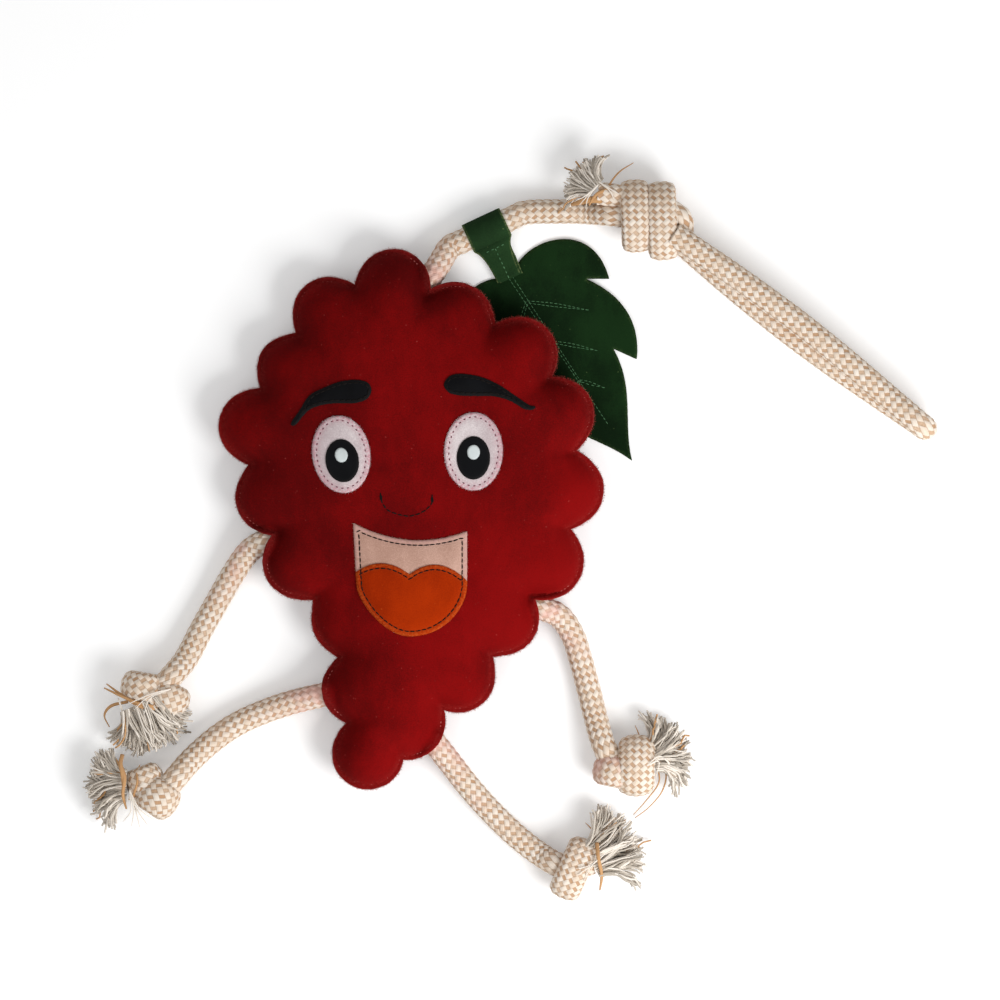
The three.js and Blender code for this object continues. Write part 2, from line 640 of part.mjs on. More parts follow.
// Side view of the strap: round the rope, then its two tails together above the stalk
function strapProfile() {
  const radius = STRAP_BORE + SUEDE;
  const tailLow = FLOOR_GAP + SUEDE + FIT;
  const tailHigh = tailLow + 2 * SUEDE;
  const profile = new THREE.Shape();
  profile.moveTo(STRAP.end, tailLow);
  profile.lineTo(STRAP.end, tailHigh);
  profile.lineTo(STRAP.neckAt, tailHigh);
  profile.absarc(0, ROPE_IN_STRAP, radius, radians(STRAP.joinAngle), radians(270), false);
  profile.lineTo(radius / 2, FLOOR_GAP);
  profile.lineTo(STRAP.neckAt - SUEDE, tailLow);
  const bore = new THREE.Path();
  bore.absarc(0, ROPE_IN_STRAP, STRAP_BORE, 0, 2 * Math.PI, true);
  profile.holes.push(bore);
  return profile;
}

// Plan of the strap: a wide band that narrows to a neck in two hollow curves
function strapPlan() {
  const back = -(STRAP_BORE + 2 * SUEDE);
  const band = STRAP.band / 2;
  const neck = STRAP.neck / 2;
  const front = STRAP_BORE + SUEDE;
  const plan = new THREE.Shape();
  plan.moveTo(back, -band);
  plan.lineTo(front, -band);
  plan.quadraticCurveTo(STRAP.neckAt + SUEDE, -neck, STRAP.end + SUEDE, -neck);
  plan.lineTo(STRAP.end + SUEDE, neck);
  plan.quadraticCurveTo(STRAP.neckAt + SUEDE, neck, front, band);
  plan.lineTo(back, band);
  return plan;
}

function addStrap() {
  const frame = leafFrame(STRAP_CENTRE, STRAP_ANGLE - 90);
  const side = new THREE.ExtrudeGeometry(strapProfile(), {
    depth: STRAP.band,
    curveSegments: 2 * PATCH_STEPS,
    bevelEnabled: false,
  });
  side.translate(0, 0, -STRAP.band / 2).rotateX(Math.PI / 2).applyMatrix4(frame);
  const height = 2 * (ROPE_IN_STRAP + STRAP_BORE);
  const plan = new THREE.ExtrudeGeometry(strapPlan(), {
    depth: height,
    curveSegments: PATCH_STEPS,
    bevelEnabled: false,
  });
  addNode("leaf_strap", solidOf(side).intersect(solidOf(plan.applyMatrix4(frame))), "greenSuede");
}

// The blade is cut alike on both sides of its midrib
function addBlade() {
  const edge = new THREE.Path();
  edge.moveTo(-LEAF.stalk, LEAF.stalkHalf);
  edge.lineTo(0, LEAF.stalkHalf);
  for (const { pull, to } of LEAF_EDGE) {
    if (pull) edge.bezierCurveTo(...pull[0], ...pull[1], ...to);
    else edge.lineTo(...to);
  }
  const half = edge.getPoints(PATCH_STEPS);
  const other = half.slice(0, -1).reverse().map((p) => new THREE.Vector2(p.x, -p.y));
  const shape = new THREE.Shape([...half, ...other]);
  const blade = new THREE.ExtrudeGeometry(shape, { depth: SUEDE, bevelEnabled: false });
  blade.translate(0, 0, FLOOR_GAP).applyMatrix4(leafFrame(LEAF.base, LEAF.angle));
  addNode("leaf_blade", solidOf(blade), "greenSuede");
}

addStrap();
addBlade();

export default toy;
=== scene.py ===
"""A stuffed suede stable toy for horses, dressed for rendering.

A bunch of grapes with a sewn face lies on its back with its four rope limbs, a suede leaf and a rope hanger.
Sizes are in millimetres and become metres when a mesh is made. +X is right, +Y points to the crown
and +Z is up.
"""

import logging
import math
from collections.abc import Callable, Sequence
from dataclasses import dataclass, field
from enum import Enum
from functools import cache

import bpy
import numpy as np
from mathutils import Matrix, Vector, noise
from mathutils.bvhtree import BVHTree
from mathutils.geometry import delaunay_2d_cdt
from mathutils.kdtree import KDTree


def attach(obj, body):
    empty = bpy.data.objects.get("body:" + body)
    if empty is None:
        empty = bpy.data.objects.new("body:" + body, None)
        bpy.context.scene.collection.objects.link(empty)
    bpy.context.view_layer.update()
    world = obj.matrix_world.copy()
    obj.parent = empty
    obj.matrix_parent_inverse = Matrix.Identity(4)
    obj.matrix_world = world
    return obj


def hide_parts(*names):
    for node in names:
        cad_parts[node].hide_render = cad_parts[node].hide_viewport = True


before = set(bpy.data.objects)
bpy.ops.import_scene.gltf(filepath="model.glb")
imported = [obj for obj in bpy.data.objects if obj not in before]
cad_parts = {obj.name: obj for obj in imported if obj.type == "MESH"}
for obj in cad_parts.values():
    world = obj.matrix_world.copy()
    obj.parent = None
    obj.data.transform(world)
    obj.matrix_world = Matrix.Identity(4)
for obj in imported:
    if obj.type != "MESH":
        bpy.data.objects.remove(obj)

LOG = logging.getLogger("stable_toy")
MM = 0.001
CHUNK = 1500  # points that are measured against an outline at a time
LINE_SAMPLES = 24  # samples of a smooth line between two of its points
TINY = 1e-6

# Stock, as in the part
SUEDE = 1.4
ROPE_DIAMETER = 15.0
ROPE_RADIUS = ROPE_DIAMETER / 2
SEAM_HEIGHT = 19.0
FLOOR_GAP = 0.2
ROPE_ON_FLOOR = ROPE_RADIUS + FLOOR_GAP
STRAP_BORE = ROPE_RADIUS + 0.5
ROPE_IN_STRAP = STRAP_BORE + SUEDE + FLOOR_GAP
STRAP_CENTRE = (54.1, 168.9)
STRAP_ANGLE = 25.0

# Steps and clearances of what is drawn
SEWN_IN = 7.0
PATH_STEP = 0.7
SEWING_STEP = 0.8
THREAD_LIFT = 0.05
FIBRE_LIFT = 0.7
RIBBON_STEP = 1.2

Points = np.ndarray
Values = np.ndarray
Spot = tuple[float, float]
Place = tuple[float, float, float]
Faces = list[tuple[int, ...]]
Lines = list[tuple[Points, bool]]
Colour = tuple[float, float, float, float]
Material = bpy.types.Material
Piece = bpy.types.Object


class Body(str, Enum):
    """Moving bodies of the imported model."""

    GRAPES = "grapes"
    HANGER = "hanger"
    LOOP = "loop"
    LEAF = "leaf"
    LEFT_ARM = "left_arm"
    RIGHT_ARM = "right_arm"
    LEFT_LEG = "left_leg"
    RIGHT_LEG = "right_leg"


class Slot(str, Enum):
    """Material slots of the record."""

    RED = "red_suede"
    GREEN = "green_suede"
    WHITE = "white_suede"
    BLACK = "black_leather"
    CREAM = "cream_suede"
    ORANGE = "orange_suede"
    ROPE = "cotton_rope"
    YARN = "loose_yarn"


# Node trees


class Term:
    """A node's output that takes part in Python arithmetic."""

    def __init__(self, tree: "NodeTree", socket: bpy.types.NodeSocket) -> None:
        """Keeps the socket and the tree that it belongs to."""
        self.tree = tree
        self.socket = socket

    def math(self, operation: str, *others: "Term | float") -> "Term":
        """Applies a Math node to this value and others."""
        return self.tree.math(operation, self, *others)

    def __add__(self, other: "Term | float") -> "Term":
        """Adds."""
        return self.math("ADD", other)

    def __radd__(self, other: float) -> "Term":
        """Adds to a number."""
        return self.tree.math("ADD", other, self)

    def __sub__(self, other: "Term | float") -> "Term":
        """Subtracts."""
        return self.math("SUBTRACT", other)

    def __rsub__(self, other: float) -> "Term":
        """Subtracts from a number."""
        return self.tree.math("SUBTRACT", other, self)

    def __mul__(self, other: "Term | float") -> "Term":
        """Multiplies."""
        return self.math("MULTIPLY", other)

    def __rmul__(self, other: float) -> "Term":
        """Multiplies a number."""
        return self.tree.math("MULTIPLY", other, self)


class NodeTree:
    """A node tree and the one way to add nodes to it."""

    def __init__(self, tree: bpy.types.NodeTree) -> None:
        """Keeps the tree."""
        self.tree = tree

    def feed(self, socket: bpy.types.NodeSocket, value: object) -> None:
        """Links a term to a socket, or sets its value.

        Args:
            socket: The socket.
            value: A term, or the socket's own value.
        """
        if isinstance(value, Term):
            self.tree.links.new(value.socket, socket)
        else:
            socket.default_value = value

    def node(self, kind: str, inputs: dict | None = None, **settings: object) -> bpy.types.Node:
        """Adds a node.

        Args:
            kind: The node's type.
            inputs: Values or terms for its sockets, by name or index.
            settings: Its own properties, which are set first.

        Returns:
            The node.
        """
        node = self.tree.nodes.new(kind)
        for key, value in settings.items():
            setattr(node, key, value)
        for key, value in (inputs or {}).items():
            self.feed(node.inputs[key], value)
        return node

    def term(self, kind: str, inputs: dict | None = None, output: int | str = 0, **settings: object) -> Term:
        """Adds a node and gives one of its outputs."""
        return Term(self, self.node(kind, inputs, **settings).outputs[output])

    def math(self, operation: str, *values: Term | float) -> Term:
        """Adds a Math node over terms and numbers."""
        return self.term("ShaderNodeMath", dict(enumerate(values)), operation=operation)

    def vector(self, x: Term | float = 0.0, y: Term | float = 0.0, z: Term | float = 0.0) -> Term:
        """Joins three values into a vector."""
        return self.term("ShaderNodeCombineXYZ", {0: x, 1: y, 2: z})

    def split(self, vector: Term) -> list[Term]:
        """Gives a vector's three values."""
        return [Term(self, socket) for socket in self.node("ShaderNodeSeparateXYZ", {0: vector}).outputs]


class Canvas(NodeTree):
    """A material's node tree."""

    def __init__(self, name: str) -> None:
        """Makes an empty material.

        Args:
            name: The material's name.
        """
        self.material = bpy.data.materials.new(name)
        self.material.use_nodes = True
        super().__init__(self.material.node_tree)
        self.tree.nodes.clear()

    def mix(self, factor: Term | float, first: Term | Colour, second: Term | Colour) -> Term:
        """Mixes two colours by a factor."""
        return self.term("ShaderNodeMix", {0: factor, 6: first, 7: second}, 2, data_type="RGBA")

    def step(self, value: Term, low: float, high: float) -> Term:
        """Rises smoothly from 0 at low to 1 at high."""
        inputs = {"Value": value, "From Min": low, "From Max": high}
        return self.term("ShaderNodeMapRange", inputs, interpolation_type="SMOOTHSTEP")

    def place(self) -> Term:
        """Gives the object's own coordinates."""
        return self.term("ShaderNodeTexCoord", output="Object")

    def noise(self, scale: float, detail: float = 2.0, stretch: Place | None = None) -> Term:
        """Adds noise from 0 to 1 on the object's own coordinates.

        Args:
            scale: Blotches to the metre.
            detail: Octaves.
            stretch: Scale along each axis, where the noise has a direction.

        Returns:
            The noise.
        """
        place = self.place()
        if stretch:
            place = self.term("ShaderNodeMapping", {"Vector": place, "Scale": stretch})
        return self.term("ShaderNodeTexNoise", {"Vector": place, "Scale": scale, "Detail": detail})

    def attribute(self, name: str) -> Term:
        """Reads a number that the mesh carries."""
        return self.term("ShaderNodeAttribute", output="Fac", attribute_name=name)

    def close(self, inputs: dict) -> Material:
        """Closes the tree with a surface of these inputs."""
        self.node("ShaderNodeOutputMaterial", {0: self.term("ShaderNodeBsdfPrincipled", inputs)})
        return self.material

    def finish(
        self, colour: Term, roughness: Term | float, height: Term, depth: float, strength: float, shine: float
    ) -> Material:
        """Closes the tree with a surface in relief.

        Args:
            colour: Base colour.
            roughness: Roughness.
            height: Relief for the bump, from about 0 to 1.
            depth: Its depth in millimetres.
            strength: Strength of the bump.
            shine: Strength of the highlights.

        Returns:
            The finished material.
        """
        bump = self.term("ShaderNodeBump", {"Strength": strength, "Distance": depth * MM, "Height": height})
        return self.close(
            {"Base Color": colour, "Roughness": roughness, "Normal": bump, "Specular IOR Level": shine}
        )


# Finishes


def srgb(*levels: int) -> Colour:
    """Turns a screen colour, red, green and blue from 0 to 255, into a linear one."""
    shares = [level / 255 for level in levels]
    return (*(s / 12.92 if s <= 0.04045 else ((s + 0.055) / 1.055) ** 2.4 for s in shares), 1.0)


@dataclass(frozen=True)
class Suede:
    """Napped suede: blotched dye, nap in streaks, paler worn edges and a painted slope of light and shade."""

    name: str
    colour: Colour
    deep: Colour
    worn: Colour
    contrast: float = 1.0
    nap: float = 0.16
    lint: float = 0.4
    # painted light and shade: how much lighter the colour turns along X and Y, as light falls across the nap
    brushed_nap_and_painted_light: Spot = (0.0, 0.0)

    def material(self) -> Material:
        """Makes the material.

        Returns:
            The material.
        """
        canvas = Canvas(self.name)
        blotch = canvas.step(canvas.noise(15.0), 0.3, 0.7)
        brushed_nap_and_painted_light = canvas.noise(150.0, 4.0, (1.0, 0.55, 1.0))
        grain = canvas.noise(1500.0)
        fibre = canvas.noise(3800.0, 1.0)
        shade = 0.5 + (blotch - 0.5) * self.contrast + (brushed_nap_and_painted_light - 0.5) * self.contrast + (grain - 0.5) * 1.1
        # painted shade: a slope that darkens the colour one way across the piece and lightens it the other
        for part, strength in zip(canvas.split(canvas.place()), self.brushed_nap_and_painted_light):
            shade = shade + part * strength
        base = canvas.mix(canvas.step(shade, 0.0, 1.0), self.deep, self.colour)
        lint = canvas.step(canvas.noise(520.0, 1.0), 0.755, 0.81) * self.lint
        wear = canvas.attribute("worn") * canvas.step(canvas.noise(900.0), 0.3, 0.7)
        base = canvas.mix((wear + lint).math("MINIMUM", 1.0), base, self.worn)
        height = grain * 0.5 + fibre * 0.3 + brushed_nap_and_painted_light * 0.5
        return canvas.finish(base, 0.85 + grain * 0.12, height, self.nap, 0.8, 0.04)


@dataclass(frozen=True)
class FineLeather:
    """Smooth dyed leather with a fine pebble."""

    name: str
    colour: Colour
    deep: Colour
    dust: Colour

    def material(self) -> Material:
        """Makes the material.

        Returns:
            The material.
        """
        canvas = Canvas(self.name)
        blotch = canvas.noise(70.0, 3.0)
        grain = canvas.noise(1300.0)
        base = canvas.mix(canvas.step(blotch + grain * 0.3, 0.4, 0.95), self.deep, self.colour)
        base = canvas.mix(canvas.attribute("worn") * 0.3, base, self.dust)
        return canvas.finish(base, 0.6 + grain * 0.15, grain, 0.1, 0.7, 0.08)


@dataclass(frozen=True)
class Braid:
    """Cotton braid of two strand colours, with painted shade in the gaps, drawn on a rope's own coordinates.
    """

    name: str
    cream: Colour
    tan: Colour
    shade: Colour
    # painted shade: the colour laid in the gaps between strands
    dyed: Colour
    groove: Colour
    width: float = 4.9
    pitch: float = 5.3
    depth: float = 1.2
    over_half: float = 0.71

    def relief(self, around: Points, along: Points) -> Points:
        """Gives how far the strands stand off the rope's mean radius.

        Args:
            around: Place round the rope, in strands.
            along: Place along it, in pitches.

        Returns:
            Heights in millimetres.
        """
        first, second = around + along, around - along
        aside = 2 * np.abs(first - np.round(first))
        run = np.abs((second - np.round(first) + 1) % 2 - 1)
        cream = 1.0 - 0.4 * (run / self.over_half) ** 3 - 0.45 * aside**3
        tan = 0.55 - 0.35 * ((1 - run) / (1 - self.over_half)) ** 2 - 0.15 * aside**2
        return self.depth * (np.maximum(cream, tan) - 0.75)

    def material(self) -> Material:
        """Makes the material.

        Returns:
            The material.
        """
        canvas = Canvas(self.name)
        around, along, _ = canvas.split(canvas.term("ShaderNodeUVMap", uv_map="rope"))
        first, second = around + along, around - along
        first_at = first.math("ROUND")
        aside = (first - first_at).math("ABSOLUTE")
        run = (second - first_at).math("PINGPONG", 1.0)
        blotch = canvas.noise(60.0, 3.0)
        fluff = canvas.noise(1500.0, 3.0)
        ragged = (fluff - 0.5) * 0.16
        over = canvas.step(self.over_half - run + ragged, -0.05, 0.05)
        cell = canvas.vector(first_at, second.math("ROUND"))
        luck = canvas.term("ShaderNodeTexWhiteNoise", {"Vector": cell}, noise_dimensions="2D")
        soil = canvas.step(blotch * 0.5 + fluff * 0.5 + luck * 0.5, 0.45, 1.15)
        fade = canvas.step(fluff * 0.5 + luck * 0.45, 0.3, 1.1)
        cream, tan = canvas.mix(soil, self.cream, self.shade), canvas.mix(fade, self.tan, self.shade)
        # painted shade: the gaps beside each strand and at the ends of each crossing darken towards the
        # groove colour
        side_gap = canvas.step(aside + ragged, 0.38, 0.5)
        end_gap = canvas.step((run - self.over_half + ragged).math("ABSOLUTE"), 0.0, 0.13)
        gap = side_gap.math("MAXIMUM", 1.0 - end_gap)
        base = canvas.mix(gap * 0.6, canvas.mix(over, tan, cream), self.groove)
        stain = canvas.attribute("stain") * canvas.step(blotch, 0.35, 0.7) * 0.8
        yarn = (aside * (6.0 * math.pi)).math("COSINE")
        base = canvas.mix(stain, base, self.dyed)
        return canvas.finish(base, 0.92, yarn * 0.2 + fluff * 0.7, 0.3, 0.8, 0.08)


@dataclass(frozen=True)
class Yarn:
    """Loose cotton yarn, whose strands take their tint from the mesh; the darker ones are partly painted
    shade.
    """

    name: str
    pale: Colour
    grey_and_painted_shade: Colour
    tan: Colour

    def material(self) -> Material:
        """Makes the material.

        Returns:
            The material.
        """
        canvas = Canvas(self.name)
        tint = canvas.attribute("tint")
        fluff = canvas.noise(1500.0)
        # strands with a high tint turn darker, partly their own tone and partly painted shade among the
        # strands
        base = canvas.mix(canvas.step(tint + fluff * 0.4, 0.2, 1.1), self.pale, self.grey_and_painted_shade)
        base = canvas.mix(canvas.step(tint, 0.98, 0.985), base, self.tan)
        return canvas.finish(base, 0.95, fluff, 0.2, 0.7, 0.06)


@dataclass(frozen=True)
class Thread:
    """Twisted sewing thread."""

    name: str
    colour: Colour
    dark: Colour

    def material(self) -> Material:
        """Makes the material.

        Returns:
            The material.
        """
        canvas = Canvas(self.name)
        twist = canvas.noise(2600.0, 1.0)
        wear = canvas.noise(160.0)
        base = canvas.mix(canvas.step(twist * 0.6 + wear * 0.6, 0.35, 0.85), self.dark, self.colour)
        return canvas.finish(base, 0.75, twist, 0.12, 0.6, 0.1)


BRAID = Braid(
    "braided_cotton",
    cream=srgb(233, 222, 209),
    tan=srgb(190, 152, 119),
    shade=srgb(222, 202, 181),
    dyed=srgb(222, 172, 162),
    # painted shade for the gaps between strands
    groove=srgb(166, 136, 110),
)


class Finish(Enum):
    """Every finish of the toy."""

    # painted light: the red is darker towards the upper left and lighter towards the lower right
    RED = Suede("red_suede", srgb(126, 8, 9), srgb(80, 5, 6), srgb(172, 74, 68), 0.45, brushed_nap_and_painted_light=(1.2, -1.0))
    GREEN = Suede("green_suede", srgb(22, 46, 21), srgb(14, 30, 14), srgb(96, 118, 70), nap=0.13)
    STRAP = Suede("strap_suede", srgb(36, 62, 34), srgb(26, 46, 25), srgb(120, 132, 84), nap=0.1)
    WHITE = Suede("white_suede", srgb(226, 216, 216), srgb(182, 167, 169), srgb(190, 126, 138), 0.7)
    BLACK = FineLeather("black_leather", srgb(12, 13, 16), srgb(7, 7, 9), srgb(44, 41, 39))
    GLINT = FineLeather("white_leather", srgb(204, 211, 211), srgb(184, 190, 190), srgb(140, 146, 148))
    CREAM = Suede("cream_suede", srgb(204, 166, 150), srgb(168, 130, 114), srgb(196, 150, 148), 0.5)
    ORANGE = Suede("orange_suede", srgb(166, 46, 3), srgb(140, 34, 2), srgb(186, 84, 32), 0.6, 0.1)
    ROPE = BRAID
    # its second colour is partly the yarn's own tone and partly painted shade among the strands
    YARN = Yarn("loose_yarn", srgb(238, 229, 218), srgb(180, 170, 157), srgb(194, 150, 106))
    SEAM_THREAD = Thread("red_thread", srgb(212, 124, 118), srgb(150, 50, 48))
    BLACK_THREAD = Thread("black_thread", srgb(28, 22, 20), srgb(12, 10, 9))
    EYE_THREAD = Thread("dark_thread", srgb(128, 70, 84), srgb(84, 38, 52))
    LEAF_THREAD = Thread("green_thread", srgb(96, 140, 100), srgb(52, 92, 60))
    FIBRE = Thread("red_fibre", srgb(176, 84, 74), srgb(118, 22, 22))

    @cache
    def material(self) -> Material:
        """Gives the finish's material, which is made once."""
        return self.value.material()


# Plane geometry


def turn(degrees: float) -> Points:
    """Gives the unit vector of a heading in the plane."""
    return np.array([math.cos(math.radians(degrees)), math.sin(math.radians(degrees))])


def unit(rows: Points) -> Points:
    """Gives vectors a length of 1."""
    return rows / np.linalg.norm(rows, axis=-1, keepdims=True)


def share(values: Values) -> Values:
    """Keeps values from 0 to 1."""
    return np.clip(values, 0.0, 1.0)


def bell(gap: Values, width: float | Values, power: int = 2) -> Values:
    """Falls softly from 1 as a gap grows past a width."""
    return np.exp(-((gap / width) ** power))


def round_over(gap: Values, radius: float) -> Values:
    """Rises from 0 to 1 over a quarter circle from a cut edge."""
    return np.sqrt(share(1 - (1 - np.minimum(1.0, gap / radius)) ** 2))


def line_length(line: Points) -> float:
    """Measures a line."""
    return float(np.linalg.norm(np.diff(line, axis=0), axis=1).sum())


def resample(line: Points, step: float, closed: bool = False) -> Points:
    """Samples a line evenly by its length.

    Args:
        line: The line's points; a closed one repeats its first point at its end.
        step: Distance between samples.
        closed: Whether the line is closed, so that the last sample is left out.

    Returns:
        The samples.
    """
    lengths = np.concatenate([[0.0], np.cumsum(np.linalg.norm(np.diff(line, axis=0), axis=1))])
    count = max(2, int(round(lengths[-1] / step)))
    places = np.linspace(0.0, lengths[-1], count + 1)[: -1 if closed else None]
    return np.stack([np.interp(places, lengths, row) for row in line.T], axis=1)


def respace(outline: Points, step: float) -> Points:
    """Samples a closed outline evenly."""
    return resample(np.vstack([outline, outline[:1]]), step, closed=True)


def smooth_line(points: Sequence[Sequence[float]], step: float, closed: bool = False) -> Points:
    """Draws a smooth line through points and samples it evenly.

    Args:
        points: Points in the plane or in space.
        step: Distance between samples.
        closed: Whether the line closes on itself.

    Returns:
        The samples. A closed line doesn't repeat its first one.
    """
    given = np.asarray(points, dtype=float)
    if closed:
        ring = np.vstack([given[-1:], given, given[:2]])
    else:
        ring = np.vstack([2 * given[0] - given[1], given, 2 * given[-1] - given[-2]])
    dense = []
    for span in zip(ring, ring[1:], ring[2:], ring[3:]):
        knots = np.cumsum([0.0] + [max(TINY, np.linalg.norm(b - a)) ** 0.5 for a, b in zip(span, span[1:])])
        t = np.linspace(knots[1], knots[2], LINE_SAMPLES, endpoint=False)[:, None]
        rows = span
        for pairs in (((0, 1), (1, 2), (2, 3)), ((0, 2), (1, 3)), ((1, 2),)):
            rows = [
                ((knots[high] - t) * a + (t - knots[low]) * b) / (knots[high] - knots[low])
                for a, b, (low, high) in zip(rows, rows[1:], pairs)
            ]
        dense.append(rows[0])
    dense.append(given[:1] if closed else given[-1:])
    return resample(np.vstack(dense), step, closed)


def bezier(start: Spot, pulls: Sequence[Spot], end: Spot, count: int) -> Points:
    """Samples a Bezier curve, without its end.

    Args:
        start: First point.
        pulls: Control points, two at most.
        end: Last point.
        count: Number of samples.

    Returns:
        The samples.
    """
    t = np.linspace(0.0, 1.0, count, endpoint=False)[:, None]
    rows = [np.asarray(p, dtype=float)[None] for p in (start, *pulls, end)]
    while len(rows) > 1:
        rows = [(1 - t) * a + t * b for a, b in zip(rows, rows[1:])]
    return rows[0]


def chunks(count: int) -> list[Values]:
    """Splits a row of points into parts that are measured at a time."""
    return np.array_split(np.arange(count), max(1, count // CHUNK))


def inside(points: Points, outline: Points) -> Values:
    """Tells which points lie inside an outline.

    Args:
        points: The points.
        outline: The outline, which closes on itself.

    Returns:
        True for each point inside.
    """
    found = np.zeros(len(points), dtype=bool)
    ax, ay = outline.T
    bx, by = np.roll(outline, -1, axis=0).T
    for part in chunks(len(points)):
        x, y = points[part, 0][:, None], points[part, 1][:, None]
        with np.errstate(divide="ignore", invalid="ignore"):
            cross = x < (bx - ax) * (y - ay) / (by - ay) + ax
        found[part] = (((ay > y) != (by > y)) & cross).sum(axis=1) % 2 == 1
    return found


def edge_distance(points: Points, outline: Points) -> Values:
    """Measures how far points are from a closed outline.

    Args:
        points: The points.
        outline: The outline.

    Returns:
        The distances.
    """
    along = np.roll(outline, -1, axis=0) - outline
    size = np.maximum(TINY**2, (along**2).sum(axis=1))
    found = np.empty(len(points))
    for part in chunks(len(points)):
        gap = points[part][:, None] - outline[None]
        reach = share((gap * along).sum(axis=2) / size)
        found[part] = np.linalg.norm(gap - reach[..., None] * along, axis=2).min(axis=1)
    return found


def outward(outline: Points) -> Points:
    """Gives the outward normals of an anticlockwise outline."""
    ahead = np.roll(outline, -1, axis=0) - np.roll(outline, 1, axis=0)
    return unit(np.column_stack([ahead[:, 1], -ahead[:, 0]]))


def inset_line(outline: Points, inset: float) -> Points:
    """Draws a closed sewing line at a distance inside an anticlockwise outline."""
    line = outline - outward(outline) * inset
    return respace(line[edge_distance(line, outline) > inset * 0.93], SEWING_STEP)


def fill_outline(outline: Points, spacing: float) -> tuple[Points, Faces]:
    """Fills an outline with even triangles.

    Args:
        outline: The outline, anticlockwise.
        spacing: Size of the triangles.

    Returns:
        The points, of which the first are the outline's own, and the triangles.
    """
    low, high = outline.min(axis=0), outline.max(axis=0)
    rows = np.arange(low[1], high[1], spacing * math.sqrt(0.75))
    columns = np.arange(low[0], high[0] + spacing, spacing)
    grid = np.array([(x + spacing / 2 * (k % 2), y) for k, y in enumerate(rows) for x in columns])
    grid = grid[inside(grid, outline)]
    points = np.vstack([outline, grid[edge_distance(grid, outline) > 0.6 * spacing]])
    count = len(outline)
    edges = [(k, (k + 1) % count) for k in range(count)]
    faces = []
    for a, b, c in delaunay_2d_cdt([Vector(p) for p in points], edges, [], 1, 1e-7)[2]:
        first, second = points[b] - points[a], points[c] - points[a]
        faces.append((a, b, c) if first[0] * second[1] > first[1] * second[0] else (a, c, b))
    return points, faces


def smooth_noise(points: Points, size: float, seed: float) -> Values:
    """Gives soft noise over places in the plane, from about -1 to 1."""
    return np.array([noise.noise(Vector((x / size, y / size, seed))) for x, y in points[:, :2]])


def layered_noise(points: Points, layers: Sequence[Place]) -> Values:
    """Adds up soft noise in layers, each of a size, a seed and a height."""
    return sum(smooth_noise(points, size, seed) * height for size, seed, height in layers)


# Meshes and pieces


def band_faces(low: int, high: int, count: int, flip: bool = False) -> Faces:
    """Gives the quads between two rings of points.

    Args:
        low: First point of one ring.
        high: First point of the other.
        count: Number of points in a ring.
        flip: Whether the quads face the other way.

    Returns:
        The quads.
    """
    found = []
    for k in range(count):
        right = (k + 1) % count
        a, b, c, d = low + k, low + right, high + right, high + k
        found.append((a, d, c, b) if flip else (a, b, c, d))
    return found


def tube_faces(first: int, rows: int, sides: int) -> Faces:
    """Gives the quads of a tube whose rings follow one another."""
    starts = range(first, first + (rows - 1) * sides, sides)
    return [quad for start in starts for quad in band_faces(start, start + sides, sides)]


def flipped(faces: Faces, shift: int) -> Faces:
    """Gives the same triangles on later points, the other way up."""
    return [(a + shift, c + shift, b + shift) for a, b, c in faces]


def slab(places: Points, faces: Faces, count: int, top: Values, bottom: Values) -> tuple[Points, Faces]:
    """Closes a filled outline into a solid sheet.

    Args:
        places: Places in the plane, of which the first are the outline.
        faces: Triangles over them.
        count: Number of points on the outline.
        top: Height of every point's upper side.
        bottom: Height of every point's lower side.

    Returns:
        Points and faces of the closed sheet.
    """
    size = len(places)
    points = np.vstack([np.column_stack([places, top]), np.column_stack([places, bottom])])
    return points, [*faces, *flipped(faces, size), *band_faces(0, size, count, flip=True)]


def add_object(name: str, data: bpy.types.ID) -> Piece:
    """Makes an object and links it to the scene.

    Args:
        name: The object's name.
        data: What it shows.

    Returns:
        The object.
    """
    made = bpy.data.objects.new(name, data)
    bpy.context.scene.collection.objects.link(made)
    return made


def make_piece(
    name: str,
    points: Points,
    faces: Faces,
    material: Material,
    numbers: dict[str, Values] | None = None,
    uv: Values | None = None,
) -> Piece:
    """Makes a smooth mesh object from points in millimetres.

    Args:
        name: The piece's name.
        points: Its points.
        faces: Its faces.
        material: Its material.
        numbers: Numbers for each point, by attribute name.
        uv: Places of every face corner on the rope's own coordinates.

    Returns:
        The object, at the origin.
    """
    mesh = bpy.data.meshes.new(name)
    mesh.from_pydata((np.asarray(points) * MM).tolist(), [], faces)
    for key, values in (numbers or {}).items():
        layer = mesh.attributes.new(key, "FLOAT", "POINT")
        layer.data.foreach_set("value", np.asarray(values, dtype=np.float32))
    if uv is not None:
        mesh.uv_layers.new(name="rope").data.foreach_set("uv", np.asarray(uv, dtype=np.float32).ravel())
    mesh.materials.append(material)
    mesh.shade_smooth()
    mesh.update()
    return add_object(name, mesh)


def dress(piece: Piece, body: Body, slot: Slot, *nodes: str) -> Piece:
    """Rides a piece on its body and stands it for its nodes.

    Args:
        piece: The piece.
        body: The body that carries it.
        slot: Not used.
        nodes: Nodes that it replaces.

    Returns:
        The piece.
    """
    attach(piece, body.value)
    if nodes:
        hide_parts(*nodes)
    LOG.info("%s rides on %s", piece.name, body.value)
    return piece


